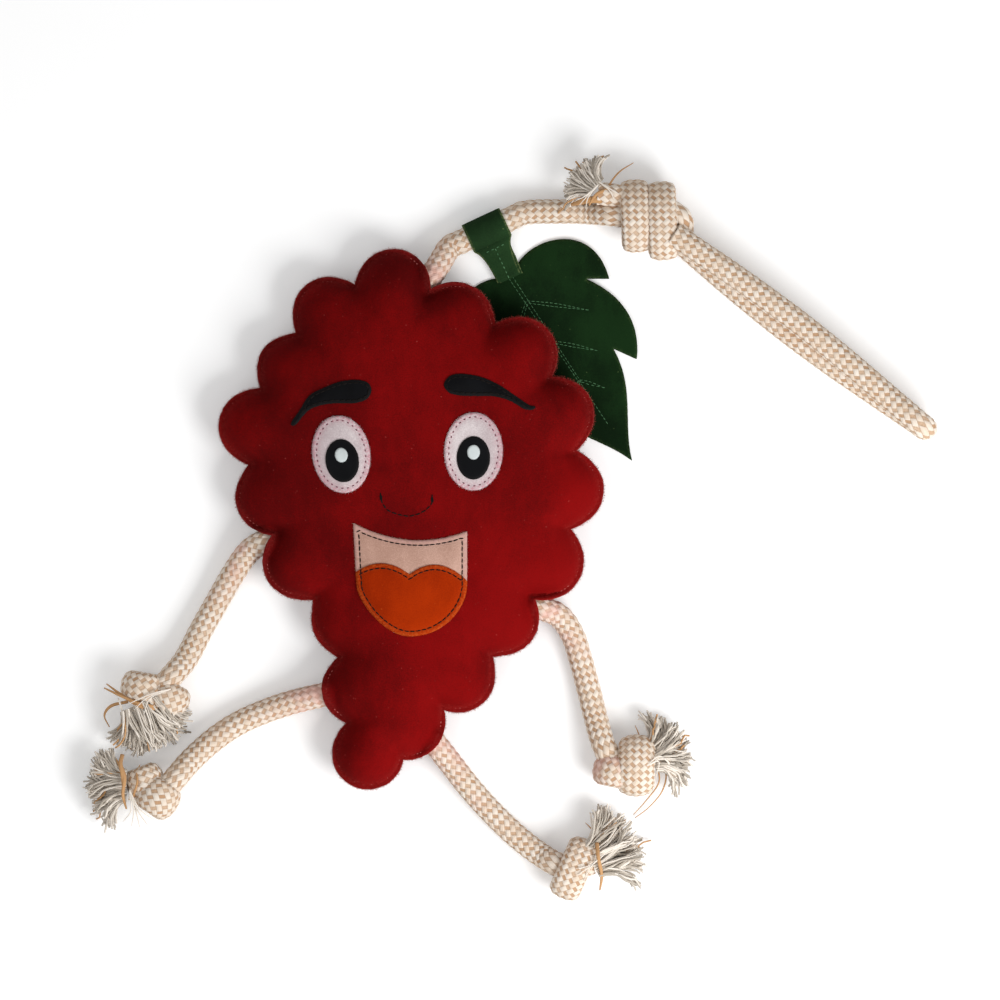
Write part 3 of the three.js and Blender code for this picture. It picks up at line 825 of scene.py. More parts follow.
class Ground:
    """What lies under a place, seen from above."""

    def __init__(self, *pieces: Piece) -> None:
        """Reads the pieces' meshes.

        Args:
            pieces: What lies there.
        """
        self.trees = []
        for piece in pieces:
            corners = [v.co.copy() for v in piece.data.vertices]
            self.trees.append(BVHTree.FromPolygons(corners, [tuple(p.vertices) for p in piece.data.polygons]))

    def height(self, places: Points) -> Values:
        """Gives the height of the uppermost surface under each place.

        Args:
            places: Places in the plane.

        Returns:
            The heights, 0 where nothing lies there.
        """
        above, down = 0.3, Vector((0.0, 0.0, -1.0))
        found = np.zeros(len(places))
        for k, (x, y) in enumerate(places[:, :2]):
            hits = [tree.ray_cast(Vector((x * MM, y * MM, above)), down)[0] for tree in self.trees]
            found[k] = max((hit.z for hit in hits if hit), default=0.0) / MM
        return found

    def drape(self, line: Points, closed: bool, lift: float = THREAD_LIFT) -> tuple[Points, bool]:
        """Lays a line of the plane on the surface."""
        return np.column_stack([line, self.height(line) + lift]), closed


# Geometry Nodes


class NodePlan(NodeTree):
    """A Geometry Nodes tree with named inputs, which is baked to a plain mesh."""

    def __init__(self, name: str) -> None:
        """Starts a tree with geometry in and out.

        Args:
            name: The tree's name.
        """
        super().__init__(bpy.data.node_groups.new(name, "GeometryNodeTree"))
        for way in ("INPUT", "OUTPUT"):
            self.tree.interface.new_socket("Geometry", in_out=way, socket_type="NodeSocketGeometry")
        self.entry = self.tree.nodes.new("NodeGroupInput")

    def values(self, *names: str, kind: str = "Float") -> list[Term]:
        """Adds named inputs of one kind.

        Args:
            names: The inputs' names.
            kind: What they hold.

        Returns:
            Their values.
        """
        for name in names:
            self.tree.interface.new_socket(name, in_out="INPUT", socket_type=f"NodeSocket{kind}")
        return [Term(self, self.entry.outputs[name]) for name in names]

    def random(self, low: float, high: float, key: Term, seed: int) -> Term:
        """Gives each key a steady random number from low to high."""
        inputs = {2: low, 3: high, "ID": key, "Seed": seed}  # 2 and 3 are a float's Min and Max
        return self.term("FunctionNodeRandomValue", inputs, 1, data_type="FLOAT")

    def store(self, geometry: Term, kind: str, name: str, value: Term) -> Term:
        """Keeps a value on every point under a name."""
        inputs = {"Geometry": geometry, "Name": name, "Value": value}
        return self.term("GeometryNodeStoreNamedAttribute", inputs, data_type=kind, domain="POINT")

    def close(self, geometry: Term) -> None:
        """Ends the tree: real geometry, smooth, with its material.

        Args:
            geometry: What the tree makes.
        """
        (material,) = self.values("Material", kind="Material")
        real = self.term("GeometryNodeRealizeInstances", {"Geometry": geometry})
        smooth = self.term("GeometryNodeSetShadeSmooth", {"Geometry": real})
        dyed = self.term("GeometryNodeSetMaterial", {"Geometry": smooth, "Material": material})
        self.node("NodeGroupOutput", {0: dyed})

    def bake(self, name: str, mesh: bpy.types.Mesh, finish: Finish, values: dict) -> Piece:
        """Runs the tree on a mesh and keeps the result as a plain mesh.

        Args:
            name: Name of the new piece.
            mesh: What the tree starts from.
            finish: The piece's finish.
            values: Values of the tree's other inputs, by name.

        Returns:
            The piece.
        """
        carrier = add_object(f"{name}_guide", mesh)
        modifier = carrier.modifiers.new("plan", "NODES")
        modifier.node_group = self.tree
        given = {**values, "Material": finish.material()}
        for item in self.tree.interface.items_tree:
            if item.in_out == "INPUT" and item.name in given:
                modifier[item.identifier] = given[item.name]
        graph = bpy.context.evaluated_depsgraph_get()
        made = bpy.data.meshes.new_from_object(carrier.evaluated_get(graph))
        made.name = name
        bpy.data.objects.remove(carrier)
        return add_object(name, made)


def line_mesh(name: str, lines: Lines) -> bpy.types.Mesh:
    """Makes a mesh of bare lines.

    Args:
        name: The mesh's name.
        lines: Points of each line in millimetres, and whether it is closed.

    Returns:
        The mesh.
    """
    points: list[list[float]] = []
    edges: list[tuple[int, int]] = []
    for line, closed in lines:
        first = len(points)
        points.extend((np.asarray(line) * MM).tolist())
        last = len(points) - 1
        edges.extend((k, k + 1) for k in range(first, last))
        if closed:
            edges.append((last, first))
    mesh = bpy.data.meshes.new(name)
    mesh.from_pydata(points, edges, [])
    return mesh


@dataclass(frozen=True)
class Row:
    """Sizes of a row of stitches or fibres."""

    pitch: float
    length: float
    thread: float = 0.0
    jitter: float = 0.08


class RowPlan:
    """Sets copies of a small form along lines with one Geometry Nodes tree."""

    def __init__(self, name: str) -> None:
        """Starts the tree.

        Args:
            name: The tree's name.
        """
        self.plan = NodePlan(name)
        sizes = self.plan.values("Pitch", "Length", "Thread", "Jitter")
        self.pitch, self.length, self.thread, self.jitter = sizes
        self.key = self.plan.term("GeometryNodeInputIndex")

    def close(self, form: Term, swing: Term, size: Term) -> None:
        """Ends the tree.

        Args:
            form: The form that is copied, along +X.
            swing: How each copy turns from the line's heading.
            size: How each copy is scaled.
        """
        plan = self.plan
        curve = plan.term("GeometryNodeMeshToCurve", {"Mesh": Term(plan, plan.entry.outputs["Geometry"])})
        spots = plan.node("GeometryNodeCurveToPoints", {"Curve": curve, "Length": self.pitch}, mode="LENGTH")
        points, tangent = (Term(plan, spots.outputs[name]) for name in ("Points", "Tangent"))
        ahead = plan.term("FunctionNodeAlignRotationToVector", {"Vector": tangent}, axis="X")
        skew = plan.term("FunctionNodeEulerToRotation", {0: swing})
        turned = plan.term(
            "FunctionNodeRotateRotation", {"Rotation": ahead, "Rotate By": skew}, rotation_space="LOCAL"
        )
        inputs = {"Points": points, "Instance": form, "Rotation": turned, "Scale": size}
        plan.close(plan.term("GeometryNodeInstanceOnPoints", inputs))

    def lay(self, name: str, lines: Lines, row: Row, finish: Finish, body: Body, slot: Slot) -> Piece:
        """Lays a row along lines.

        Args:
            name: Name of the piece.
            lines: Points of each line in millimetres, and whether it is closed.
            row: Sizes of the row.
            finish: Its finish.
            body: The body that carries it.
            slot: The record's slot for its finish.

        Returns:
            The row, as one dressed piece.
        """
        sizes = {"Pitch": row.pitch, "Length": row.length, "Thread": row.thread}
        values = {key: size * MM for key, size in sizes.items()} | {"Jitter": row.jitter}
        return dress(self.plan.bake(name, line_mesh(name, lines), finish, values), body, slot)


class Sewing(RowPlan):
    """Lays stitches."""

    def __init__(self) -> None:
        """Builds the tree: a stitch is a long bead."""
        super().__init__("stitches")
        plan, thread = self.plan, self.thread
        bead = plan.term("GeometryNodeMeshUVSphere", {"Segments": 6, "Rings": 5, "Radius": 1.0}, "Mesh")
        swing = plan.vector(z=plan.random(-1.0, 1.0, self.key, 3) * self.jitter)
        self.close(bead, swing, plan.vector(self.length * 0.5, thread, thread * 0.85))


class Fringe(RowPlan):
    """Sets short fibres along a cut edge, to the right of the line."""

    def __init__(self) -> None:
        """Builds the tree: a fibre is a thin cone."""
        super().__init__("cut_edge_fibres")
        plan, key = self.plan, self.key
        sizes = {"Vertices": 3, "Radius Top": 0.02, "Radius Bottom": 0.09, "Depth": 1.0}
        cone = plan.term("GeometryNodeMeshCone", sizes, "Mesh")
        right = math.pi / 2
        laid = plan.term("GeometryNodeTransform", {"Geometry": cone, "Rotation": (0.0, right, 0.0)})
        lean, swing = plan.random(-0.7, 0.4, key, 1), plan.random(-right - 0.9, -right + 0.9, key, 2)
        thick = self.length * 1.4
        size = plan.vector(self.length * plan.random(0.4, 1.6, key, 3), thick, thick)
        self.close(laid, plan.vector(y=lean, z=swing), size)


@dataclass(frozen=True)
class Fray:
    """Sizes of one frayed rope end."""

    at: Place
    angle: float
    spread: float
    length: float
    seed: int
    drop: float = 12.0
    strands: int = 300
    root: float = 6.5
    thickness: float = 0.68
    wave: float = 12.0
    lock: float = 1.7
    flank: float = 1.0


class Fraying:
    """Fans loose yarn out of a rope's end with one Geometry Nodes tree."""

    LENGTHS = ("Length", "Root", "Drop", "Thickness", "Wave", "Lock")
    NUMBERS = ("Strands", "Seed", "Flank")
    YARNS_IN_LOCK = 4.0
    STRAY = 0.985

    def __init__(self) -> None:
        """Builds the tree: the fan opens along +X from the origin."""
        self.plan = plan = NodePlan("frayed_yarn")
        strands, seed = plan.values("Strands", "Seed", kind="Int")
        length, root, drop, thickness, wave, lock = plan.values(*self.LENGTHS)
        spread, flank = plan.values("Spread", "Flank")
        line = plan.term("GeometryNodeCurvePrimitiveLine", {"End": (1.0, 0.0, 0.0)})
        dotted = plan.term("GeometryNodeResampleCurve", {"Curve": line, "Count": 12})
        origins = plan.term("GeometryNodePoints", {"Count": strands})
        marked = plan.store(origins, "INT", "strand", plan.term("GeometryNodeInputIndex"))
        copies = plan.term("GeometryNodeInstanceOnPoints", {"Points": marked, "Instance": dotted})
        real = plan.term("GeometryNodeRealizeInstances", {"Geometry": copies})
        strand = plan.term("GeometryNodeInputNamedAttribute", {"Name": "strand"}, data_type="INT")
        shift = seed * 1000.0
        key = strand + shift
        bundle = strand.math("DIVIDE", self.YARNS_IN_LOCK).math("FLOOR") + shift
        place = plan.term("GeometryNodeSplineParameter", output="Factor")
        tint = plan.random(0.0, 1.0, key, 1)
        loose = tint.math("GREATER_THAN", self.STRAY)
        side = plan.random(-0.5, 0.5, bundle, 2) + plan.random(-0.03, 0.03, key, 9)
        heading = side * spread * (place * 0.6 + 0.4) + place * plan.random(-0.5, 0.5, bundle, 12)
        reach = plan.random(0.8, 1.05, bundle, 3) * length * plan.random(0.9, 1.05, key, 10)
        flat = reach * (1.0 - side * side * flank) * (loose * 0.15 + 1.0) * place
        wind = plan.random(0.0, 2 * math.pi, key, 5)
        ring = plan.random(0.0, 1.0, key, 4).math("SQRT") * lock
        sag = place.math("POWER", plan.random(1.2, 2.4, bundle, 6)) * drop * plan.random(0.1, 1.0, bundle, 7)
        layer = plan.random(-0.7, 0.7, bundle, 11) * root
        shape = plan.vector(
            heading.math("COSINE") * flat,
            wind.math("COSINE") * ring + side * 2.0 * root + heading.math("SINE") * flat,
            wind.math("SINE") * ring + layer - sag,
        )
        inputs = {"Vector": shape, "W": key * 0.037, "Scale": 75.0, "Detail": 2.0}
        wander = plan.term("ShaderNodeTexNoise", inputs, "Color", noise_dimensions="4D")
        centred = plan.term("ShaderNodeVectorMath", {0: wander, 1: (0.5, 0.5, 0.5)}, operation="SUBTRACT")
        sway = wave * place * (loose * 1.2 + 1.0)
        drift = plan.term("ShaderNodeVectorMath", {0: centred, "Scale": sway}, operation="SCALE")
        bent = plan.term("ShaderNodeVectorMath", {0: shape, 1: drift}, operation="ADD")
        moved = plan.term("GeometryNodeSetPosition", {"Geometry": real, "Position": bent})
        tinted = plan.store(moved, "FLOAT", "tint", tint)
        girth = (place * -0.12 + 1.0) * plan.random(0.75, 1.2, key, 8) * thickness
        sized = plan.term("GeometryNodeSetCurveRadius", {"Curve": tinted, "Radius": girth})
        section = plan.term("GeometryNodeCurvePrimitiveCircle", {"Resolution": 5, "Radius": 1.0})
        radius = plan.term("GeometryNodeInputRadius")
        inputs = {"Curve": sized, "Profile Curve": section, "Fill Caps": True, "Scale": radius}
        plan.close(plan.term("GeometryNodeCurveToMesh", inputs))

    def fan(self, name: str, fray: Fray) -> Piece:
        """Fans yarn out and puts it in place.

        Args:
            name: Name of the piece.
            fray: Sizes and place of the fan.

        Returns:
            The yarn, as one mesh.
        """
        values = {key: getattr(fray, key.lower()) * MM for key in self.LENGTHS}
        values |= {key: getattr(fray, key.lower()) for key in self.NUMBERS}
        values["Spread"] = math.radians(fray.spread)
        piece = self.plan.bake(name, bpy.data.meshes.new(name), Finish.YARN, values)
        turned = Matrix.Rotation(math.radians(fray.angle), 4, "Z")
        piece.data.transform(Matrix.Translation(Vector(fray.at) * MM) @ turned)
        for corner in piece.data.vertices:
            corner.co.z = max(corner.co.z, FLOOR_GAP * MM)
        return piece


# Ropes


def frames_along(path: Points) -> tuple[Points, Points]:
    """Carries a steady cross section along a path.

    Args:
        path: The path's points.

    Returns:
        Normals and binormals.
    """
    tangents = unit(np.gradient(path, axis=0))
    steep = abs(tangents[0, 2]) > 0.9
    last = np.array([0.0, 1.0, 0.0] if steep else [0.0, 0.0, 1.0])
    normals = np.empty_like(path)
    for k, tangent in enumerate(tangents):
        last = unit(last - (last @ tangent) * tangent)
        normals[k] = last
    return normals, np.cross(tangents, normals)


@dataclass
class BraidedRope:
    """A length of braided rope along a path."""

    name: str
    path: Points
    stain_reach: float = 0.0
    stained: float = 0.0
    radius: float = ROPE_RADIUS
    squeeze: float = 1.0
    narrow_start: float = 0.0
    boxy: float = 1.0
    stretch: float = 1.0
    sides: int = 64
    step: float = 0.68

    def section(self) -> Points:
        """Gives the rope's cross section, in even steps round it.

        Returns:
            Its points.
        """
        angle = np.linspace(0.0, 2 * np.pi, 721)
        wide, tall = (np.sign(part) * np.abs(part) ** self.boxy for part in (np.cos(angle), np.sin(angle)))
        ring = self.radius * np.column_stack([wide, self.squeeze * tall])
        return resample(ring, line_length(ring) / self.sides, closed=True)

    def build(self) -> Piece:
        """Makes the rope's mesh, its strands in relief.

        Returns:
            The rope.
        """
        line = resample(self.path, self.step)
        normals, sideways = frames_along(line)
        count, sides = len(line), self.sides
        along = np.arange(count) * (line_length(line) / (count - 1)) * self.stretch / BRAID.pitch
        section = self.section()
        strands = round(line_length(np.vstack([section, section[:1]])) / BRAID.width)
        grid_around, grid_along = np.meshgrid(np.arange(sides) / sides, along)
        swell = 1 + BRAID.relief(grid_around * strands, grid_along) / np.linalg.norm(section, axis=1)
        if self.narrow_start:  # pinched where it is sewn in
            swell *= 0.55 + 0.45 * share(grid_along * BRAID.pitch / self.narrow_start)
        offset = (swell * section[:, 0])[..., None] * sideways[:, None]
        offset += (swell * section[:, 1])[..., None] * normals[:, None]
        points = np.vstack([(line[:, None] + offset).reshape(-1, 3), line[[0, -1]]])
        points[:, 2] = np.maximum(points[:, 2], FLOOR_GAP / 2)
        column, row = np.meshgrid(np.arange(sides), np.arange(count - 1))
        columns = np.stack([column, column + 1, column + 1, column], axis=-1).ravel() * strands / sides
        uv = [np.column_stack([columns, along[np.stack([row, row, row + 1, row + 1], axis=-1).ravel()]])]
        faces = tube_faces(0, count, sides)
        for centre, end in ((count * sides, 0), (count * sides + 1, count - 1)):
            for k in range(sides):
                a, b = end * sides + k, end * sides + (k + 1) % sides
                faces.append((a, b, centre) if end else (b, a, centre))
            spots = np.repeat(np.arange(sides) * strands / sides, 3)
            uv.append(np.column_stack([spots, np.full(3 * sides, along[end])]))
        stain = np.full(count, self.stained)
        if self.stain_reach:
            stain += bell(along * BRAID.pitch, self.stain_reach)
        stain = np.concatenate([np.repeat(stain, sides), stain[[0, -1]]])
        return make_piece(self.name, points, faces, Finish.ROPE.material(), {"stain": stain}, np.vstack(uv))


@dataclass(frozen=True)
class KnotTurn:
    """One turn of rope in a knot, pressed flat as it goes round."""

    at: Spot
    heading: float
    half_span: float
    radius: float = ROPE_RADIUS
    squeeze: float = 0.85
    rise: float = 9.0
    boxy: float = 0.95
    stained: float = 0.0
    bite: float = 1.8
    heart_reach: float = 0.72

    def build(self, name: str) -> list[Piece]:
        """Makes the turn, which starts and ends underneath, and the rope that fills its eye.

        Args:
            name: The turn's name.

        Returns:
            The turn and what it goes round.
        """
        half = self.radius * self.squeeze
        middle = FLOOR_GAP + half + self.rise
        wind = np.linspace(-0.52 * np.pi, 1.52 * np.pi, 160)  # past a full turn, so that the ends meet
        plan = np.array(self.at) + (self.half_span * np.cos(wind))[:, None] * turn(self.heading)
        path = np.column_stack([plan, middle + self.rise * np.sin(wind)])
        rope = BraidedRope(
            name, path, stained=self.stained, radius=self.radius, squeeze=self.squeeze, boxy=self.boxy,
            stretch=1 + 2 * math.pi * half / line_length(path),
        )
        wide, tall = self.half_span - half + self.bite, self.rise - half + self.bite
        reach = np.append(turn(self.heading + 90) * self.radius * self.heart_reach, 0.0)
        centre = np.append(self.at, middle)
        eye = smooth_line([centre - reach, centre, centre + reach], PATH_STEP)
        return [rope.build(), BraidedRope(f"{name}_heart", eye, radius=wide, squeeze=tall / wide).build()]


@dataclass(frozen=True)
class Ribbon:
    """A loose flat strand of yarn, tan where its tint is 1."""

    points: Sequence[Place]
    half_width: float = 1.0
    half_thickness: float = 0.35
    tint: float = 1.0
    taper: float = 0.6  # share of its width that it loses towards its tip


def wisps(root: Place, over: Place, tips: Sequence[Place]) -> list[Ribbon]:
    """Gives pale fibres that come loose at one place and lie over a knot.

    Args:
        root: Where they come loose.
        over: The place that they pass over, in the middle.
        tips: Where each one ends.

    Returns:
        The fibres.
    """
    found = []
    for number, tip in enumerate(tips):
        lean = abs((number / max(1, len(tips) - 1) - 0.5) * 0.5)
        x, y, _ = np.array(over) * (1 - lean) + np.array(tip) * lean
        line = [root, (x, y, over[2]), tip]
        found.append(Ribbon(line, half_width=0.42, half_thickness=0.3, tint=0.1 * (number % 4)))
    return found


def make_ribbons(name: str, ribbons: Sequence[Ribbon], sides: int = 6) -> Piece:
    """Makes loose strands, which narrow to their tips, as one mesh.

    Args:
        name: The mesh's name.
        ribbons: The strands.
        sides: Sides of a strand.

    Returns:
        The strands.
    """
    points, tints, faces, first = [], [], [], 0
    angle = 2 * np.pi * np.arange(sides) / sides
    for ribbon in ribbons:
        line = smooth_line(ribbon.points, RIBBON_STEP)
        normals, sideways = frames_along(line)
        narrow = 1 - ribbon.taper * np.linspace(0.0, 1.0, len(line)) ** 3
        across = np.cos(angle)[None, :, None] * (narrow[:, None] * sideways)[:, None] * ribbon.half_width
        through = np.sin(angle)[None, :, None] * normals[:, None] * ribbon.half_thickness
        points.append((line[:, None] + across + through).reshape(-1, 3))
        tints.append(np.full(len(points[-1]), ribbon.tint))
        last = first + (len(line) - 1) * sides
        faces += tube_faces(first, len(line), sides)
        faces += [tuple(range(first + sides - 1, first - 1, -1)), tuple(range(last, last + sides))]
        first = last + sides
    corners = np.vstack(points)
    corners[:, 2] = np.maximum(corners[:, 2], FLOOR_GAP)
    return make_piece(name, corners, faces, Finish.YARN.material(), {"tint": np.concatenate(tints)})


@dataclass
class RopeLimb:
    """A rope arm or leg, sewn into the seam, with a knot and a frayed end."""

    body: Body
    swing: float
    root: Spot
    route: Sequence[Spot]
    core: Sequence[Spot]
    turns: Sequence[KnotTurn]
    fray: Fray
    ribbons: Sequence[Ribbon]
    ends: dict[str, Sequence[Place]] = field(default_factory=dict)
    knot_height: float = 1.1 * ROPE_DIAMETER + FLOOR_GAP
    stain_reach: float = 45.0
    meets_floor: float = 0.5
    leaves_floor: float = 0.6

    def places(self) -> Points:
        """Gives the rope's places from the seam, over the floor, to its knot.

        Returns:
            The places.
        """
        plan = np.array([self.root, *self.route])
        reach = np.arange(len(plan)) / (len(plan) - 1)
        down = np.maximum(0.0, 1 - reach / self.meets_floor) ** 2 * (SEAM_HEIGHT - ROPE_ON_FLOOR)
        climb = np.maximum(0.0, (reach - self.leaves_floor) / (1 - self.leaves_floor)) ** 2
        return np.column_stack([plan, ROPE_ON_FLOOR + down + climb * (self.knot_height - ROPE_ON_FLOOR)])

    def build(self, fraying: Fraying) -> None:
        """Makes the rope, its knot and its frayed end.

        Args:
            fraying: What fans yarn out.
        """
        name, body = self.body.value, self.body
        places = self.places()
        start = np.append(places[0, :2] + SEWN_IN * unit(places[0, :2] - places[1, :2]), SEAM_HEIGHT)
        path = smooth_line([start, *places, *((*spot, self.knot_height) for spot in self.core)], PATH_STEP)
        rope = BraidedRope(f"{name}_braid", path, self.stain_reach, narrow_start=SEWN_IN).build()
        dress(rope, body, Slot.ROPE, f"{name}_rope")
        for number, band in enumerate(self.turns, 1):
            for piece in band.build(f"{name}_knot_turn_{number}"):
                dress(piece, body, Slot.ROPE, f"{name}_knot")
        for part, line in self.ends.items():
            piece = BraidedRope(part, smooth_line(line, PATH_STEP), radius=ROPE_RADIUS * 0.95).build()
            dress(piece, body, Slot.ROPE)
        yarn = fraying.fan(f"{name}_frayed_yarn", self.fray)
        dress(yarn, body, Slot.YARN, f"{name}_frayed_end")
        dress(make_ribbons(f"{name}_ribbons", self.ribbons), body, Slot.YARN)


@dataclass
class Hanger(RopeLimb):
    """The rope from the crown to its knot, through the strap, and the loop beyond."""

    straight: Spot = (25.0, 17.0)
    loop_start: Spot = (170.5, 166.0)
    loop_end: Spot = (321.0, 50.5)
    loop_side: float = 8.4
    loop_fold: float = 9.2
    loop_low: float = 11.0
    loop_shares: Sequence[float] = (0.0, 0.12, 0.3, 0.5, 0.7, 0.88)
    loop_settle: float = 0.3
    loop_gap: float = 0.6

    def places(self) -> Points:
        """Gives the rope's places from the crown's seam, through the strap, to its knot.

        Returns:
            The places.
        """
        to_strap, *from_strap, end = self.route
        far, near = self.straight
        in_strap = [np.array(STRAP_CENTRE) + run * turn(STRAP_ANGLE) for run in (-far, -near, 0.0, near, far)]
        points = [(*self.root, SEAM_HEIGHT), (*to_strap, (SEAM_HEIGHT + ROPE_IN_STRAP) / 2)]
        points += [(*spot, ROPE_IN_STRAP) for spot in (*in_strap, *from_strap)]
        return np.array([*points, (*end, self.knot_height)])

    def loop_places(self) -> Points:
        """Gives the loop's places: out low, folded upright at its end, and back high.

        Returns:
            The places.
        """
        start, end = np.array(self.loop_start), np.array(self.loop_end)
        reach = np.linalg.norm(end - start)
        along = (end - start) / reach
        aside = np.array([-along[1], along[0]])
        strands = []
        for side, lift in ((-1.0, 0.0), (1.0, ROPE_DIAMETER + self.loop_gap)):
            places = []
            for run in self.loop_shares:
                bow = aside * side * self.loop_side / 2 * math.sin(math.pi * run)
                plan = start + along * reach * run + bow
                settling = max(0.0, 1 - run / self.loop_settle) ** 2
                places.append((*plan, ROPE_ON_FLOOR + settling * (self.loop_low - ROPE_ON_FLOOR) + lift))
            strands.append(places)
        ways = [turn(degrees) * self.loop_fold for degrees in (-50.0, 0.0, 50.0)]
        fold = [(*(end + along * way[0]), ROPE_ON_FLOOR + self.loop_fold + way[1]) for way in ways]
        return np.array([*strands[0], *fold, *reversed(strands[1])])

    def build(self, fraying: Fraying) -> None:
        """Makes the rope, its knot, its frayed tail and the loop.

        Args:
            fraying: What fans yarn out.
        """
        super().build(fraying)
        path = smooth_line(self.loop_places(), PATH_STEP)
        loop = BraidedRope("hanging_loop_braid", path).build()
        dress(loop, Body.LOOP, Slot.ROPE, "hanging_loop")


LIMBS = (
    RopeLimb(
        Body.LEFT_ARM,
        swing=-22,
        root=(-82.5, -24.4),
        route=[
            (-93.9, -31.6), (-104.1, -45.6), (-114.4, -63.5),
            (-124.5, -81.4), (-134.7, -100.5), (-143.5, -111),
        ],
        core=[(-148, -117), (-152, -122), (-157, -126)],
        turns=[
            KnotTurn((-161, -117.3), -10, 7.8, radius=9.4, squeeze=0.64, rise=8.5),
            KnotTurn((-144.8, -123.4), -28, 7.4, radius=9.4, squeeze=0.64, rise=7.5),
        ],
        fray=Fray((-162, -127, 19), -66, 62, 32, 1, drop=15, root=12, flank=1.5),
        ribbons=[
            Ribbon([(-154, -129, 25), (-163, -127, 27.5), (-174, -122.5, 25), (-185, -117.5, 18)]),
            Ribbon([(-152, -130.5, 24), (-162, -129, 27), (-175, -121, 22), (-183.5, -115, 15)]),
            Ribbon([(-170, -126, 20), (-181, -129, 16), (-185, -135, 10), (-182, -142, 6)]),
            *wisps(
                (-143, -118, 27), (-155, -121, 30.5), ((-166, -131, 28), (-171, -128, 28), (-160, -134, 27)),
            ),
            *wisps((-176, -124, 22), (-174, -131, 25), ((-172, -141, 19), (-166, -143, 19))),
        ],
    ),
    RopeLimb(
        Body.RIGHT_ARM,
        swing=18,
        root=(84.5, -66.5),
        route=[(99, -72.2), (107.8, -84.3), (113.2, -100.9), (117.7, -117.5), (122.8, -138), (128.5, -156)],
        core=[(133, -161.5), (140, -164), (152, -161)],
        turns=[
            KnotTurn((134.6, -169.8), -12, 8.2, radius=9.7, squeeze=0.62, rise=8, stained=0.7),
            KnotTurn((147.8, -165.9), 88, 12.8, radius=11.4, squeeze=0.58),
        ],
        fray=Fray((157, -161, 18), 25, 128, 24.5, 2, root=8.5, flank=0.8),
        ribbons=[
            Ribbon([(160, -162, 19), (166, -170, 16), (164, -182, 8), (155, -193, 3), (147, -199, 2)], 0.55),
            Ribbon([(160, -164, 18), (162, -176, 12), (154, -188, 5), (146, -197, 2)], 0.5),
            Ribbon([(162, -160, 21), (168, -163, 20), (169, -174, 13), (171, -182, 7)], 1),
            Ribbon([(154, -158, 20), (150, -148, 16), (147, -141, 11)], 0.5),
            *wisps((154, -166, 30), (162, -160, 29), ((170, -166, 20), (173, -171, 17), (160, -173, 24))),
        ],
    ),
    RopeLimb(
        Body.LEFT_LEG,
        swing=24,
        root=(-43.5, -120.8),
        route=[
            (-65.8, -126), (-85, -132.4), (-101.6, -140), (-116.9, -150.3), (-130.9, -163), (-141, -174.5),
        ],
        core=[(-147.5, -181), (-157, -183), (-168, -180)],
        turns=[
            KnotTurn((-159.6, -175.6), 22, 6.6, radius=9.2, squeeze=0.62, rise=8),
            KnotTurn((-151.6, -185.8), -35, 7.2, radius=11.2, squeeze=0.6),
        ],
        fray=Fray((-171, -178.5, 17), 178, 92, 25, 3, drop=11, root=9.5, flank=0.8),
        ribbons=[
            Ribbon(
                [
                    (-173.5, -159, 20), (-174.5, -165, 24.5), (-172, -173, 27),
                    (-173, -184, 27), (-171, -193, 21),
                ],
                1.3,
            ),
            Ribbon([(-172.5, -180, 27.5), (-174.5, -168, 26), (-178.5, -160, 19)], 0.9),
            Ribbon([(-167, -186, 24), (-164, -176, 28), (-164.5, -170, 25), (-162.5, -165.5, 21)], 0.7),
            Ribbon([(-178, -184, 17), (-187, -189, 12), (-192, -195, 6)], 1.2),
            *wisps(
                (-169, -181, 27),
                (-166, -190, 28),
                ((-173, -201, 12), (-168, -204, 9), (-163, -204.5, 9), (-158, -203.5, 10), (-154, -200, 16)),
            ),
        ],
    ),
    RopeLimb(
        Body.RIGHT_LEG,
        swing=-24,
        root=(19.5, -149),
        route=[(31.6, -164.7), (45.6, -182.5), (61, -199.1), (76.2, -213.1), (89, -222.5), (97.5, -227.5)],
        core=[(103.5, -230), (111, -229.5), (120, -226.5)],
        turns=[KnotTurn((108.9, -230.4), 66, 13.8, radius=9.8, squeeze=0.65, boxy=0.85)],
        fray=Fray((119, -226, 17), 32, 52, 33, 4, drop=11, root=10, flank=0.6),
        ribbons=[
            Ribbon([(123, -214, 25), (124, -224, 30), (126, -234, 24), (125, -244, 12)], 1.2),
            Ribbon([(125, -222, 20), (124, -212, 18), (119, -205, 12), (116, -202, 8)], 0.6),
            Ribbon([(128, -216, 18), (136, -205, 12), (141, -200, 8)], 1),
            *wisps((127, -222, 28), (120, -228, 31), ((111, -234, 31.5), (115, -238, 29), (110, -230, 32))),
        ],
    ),
)

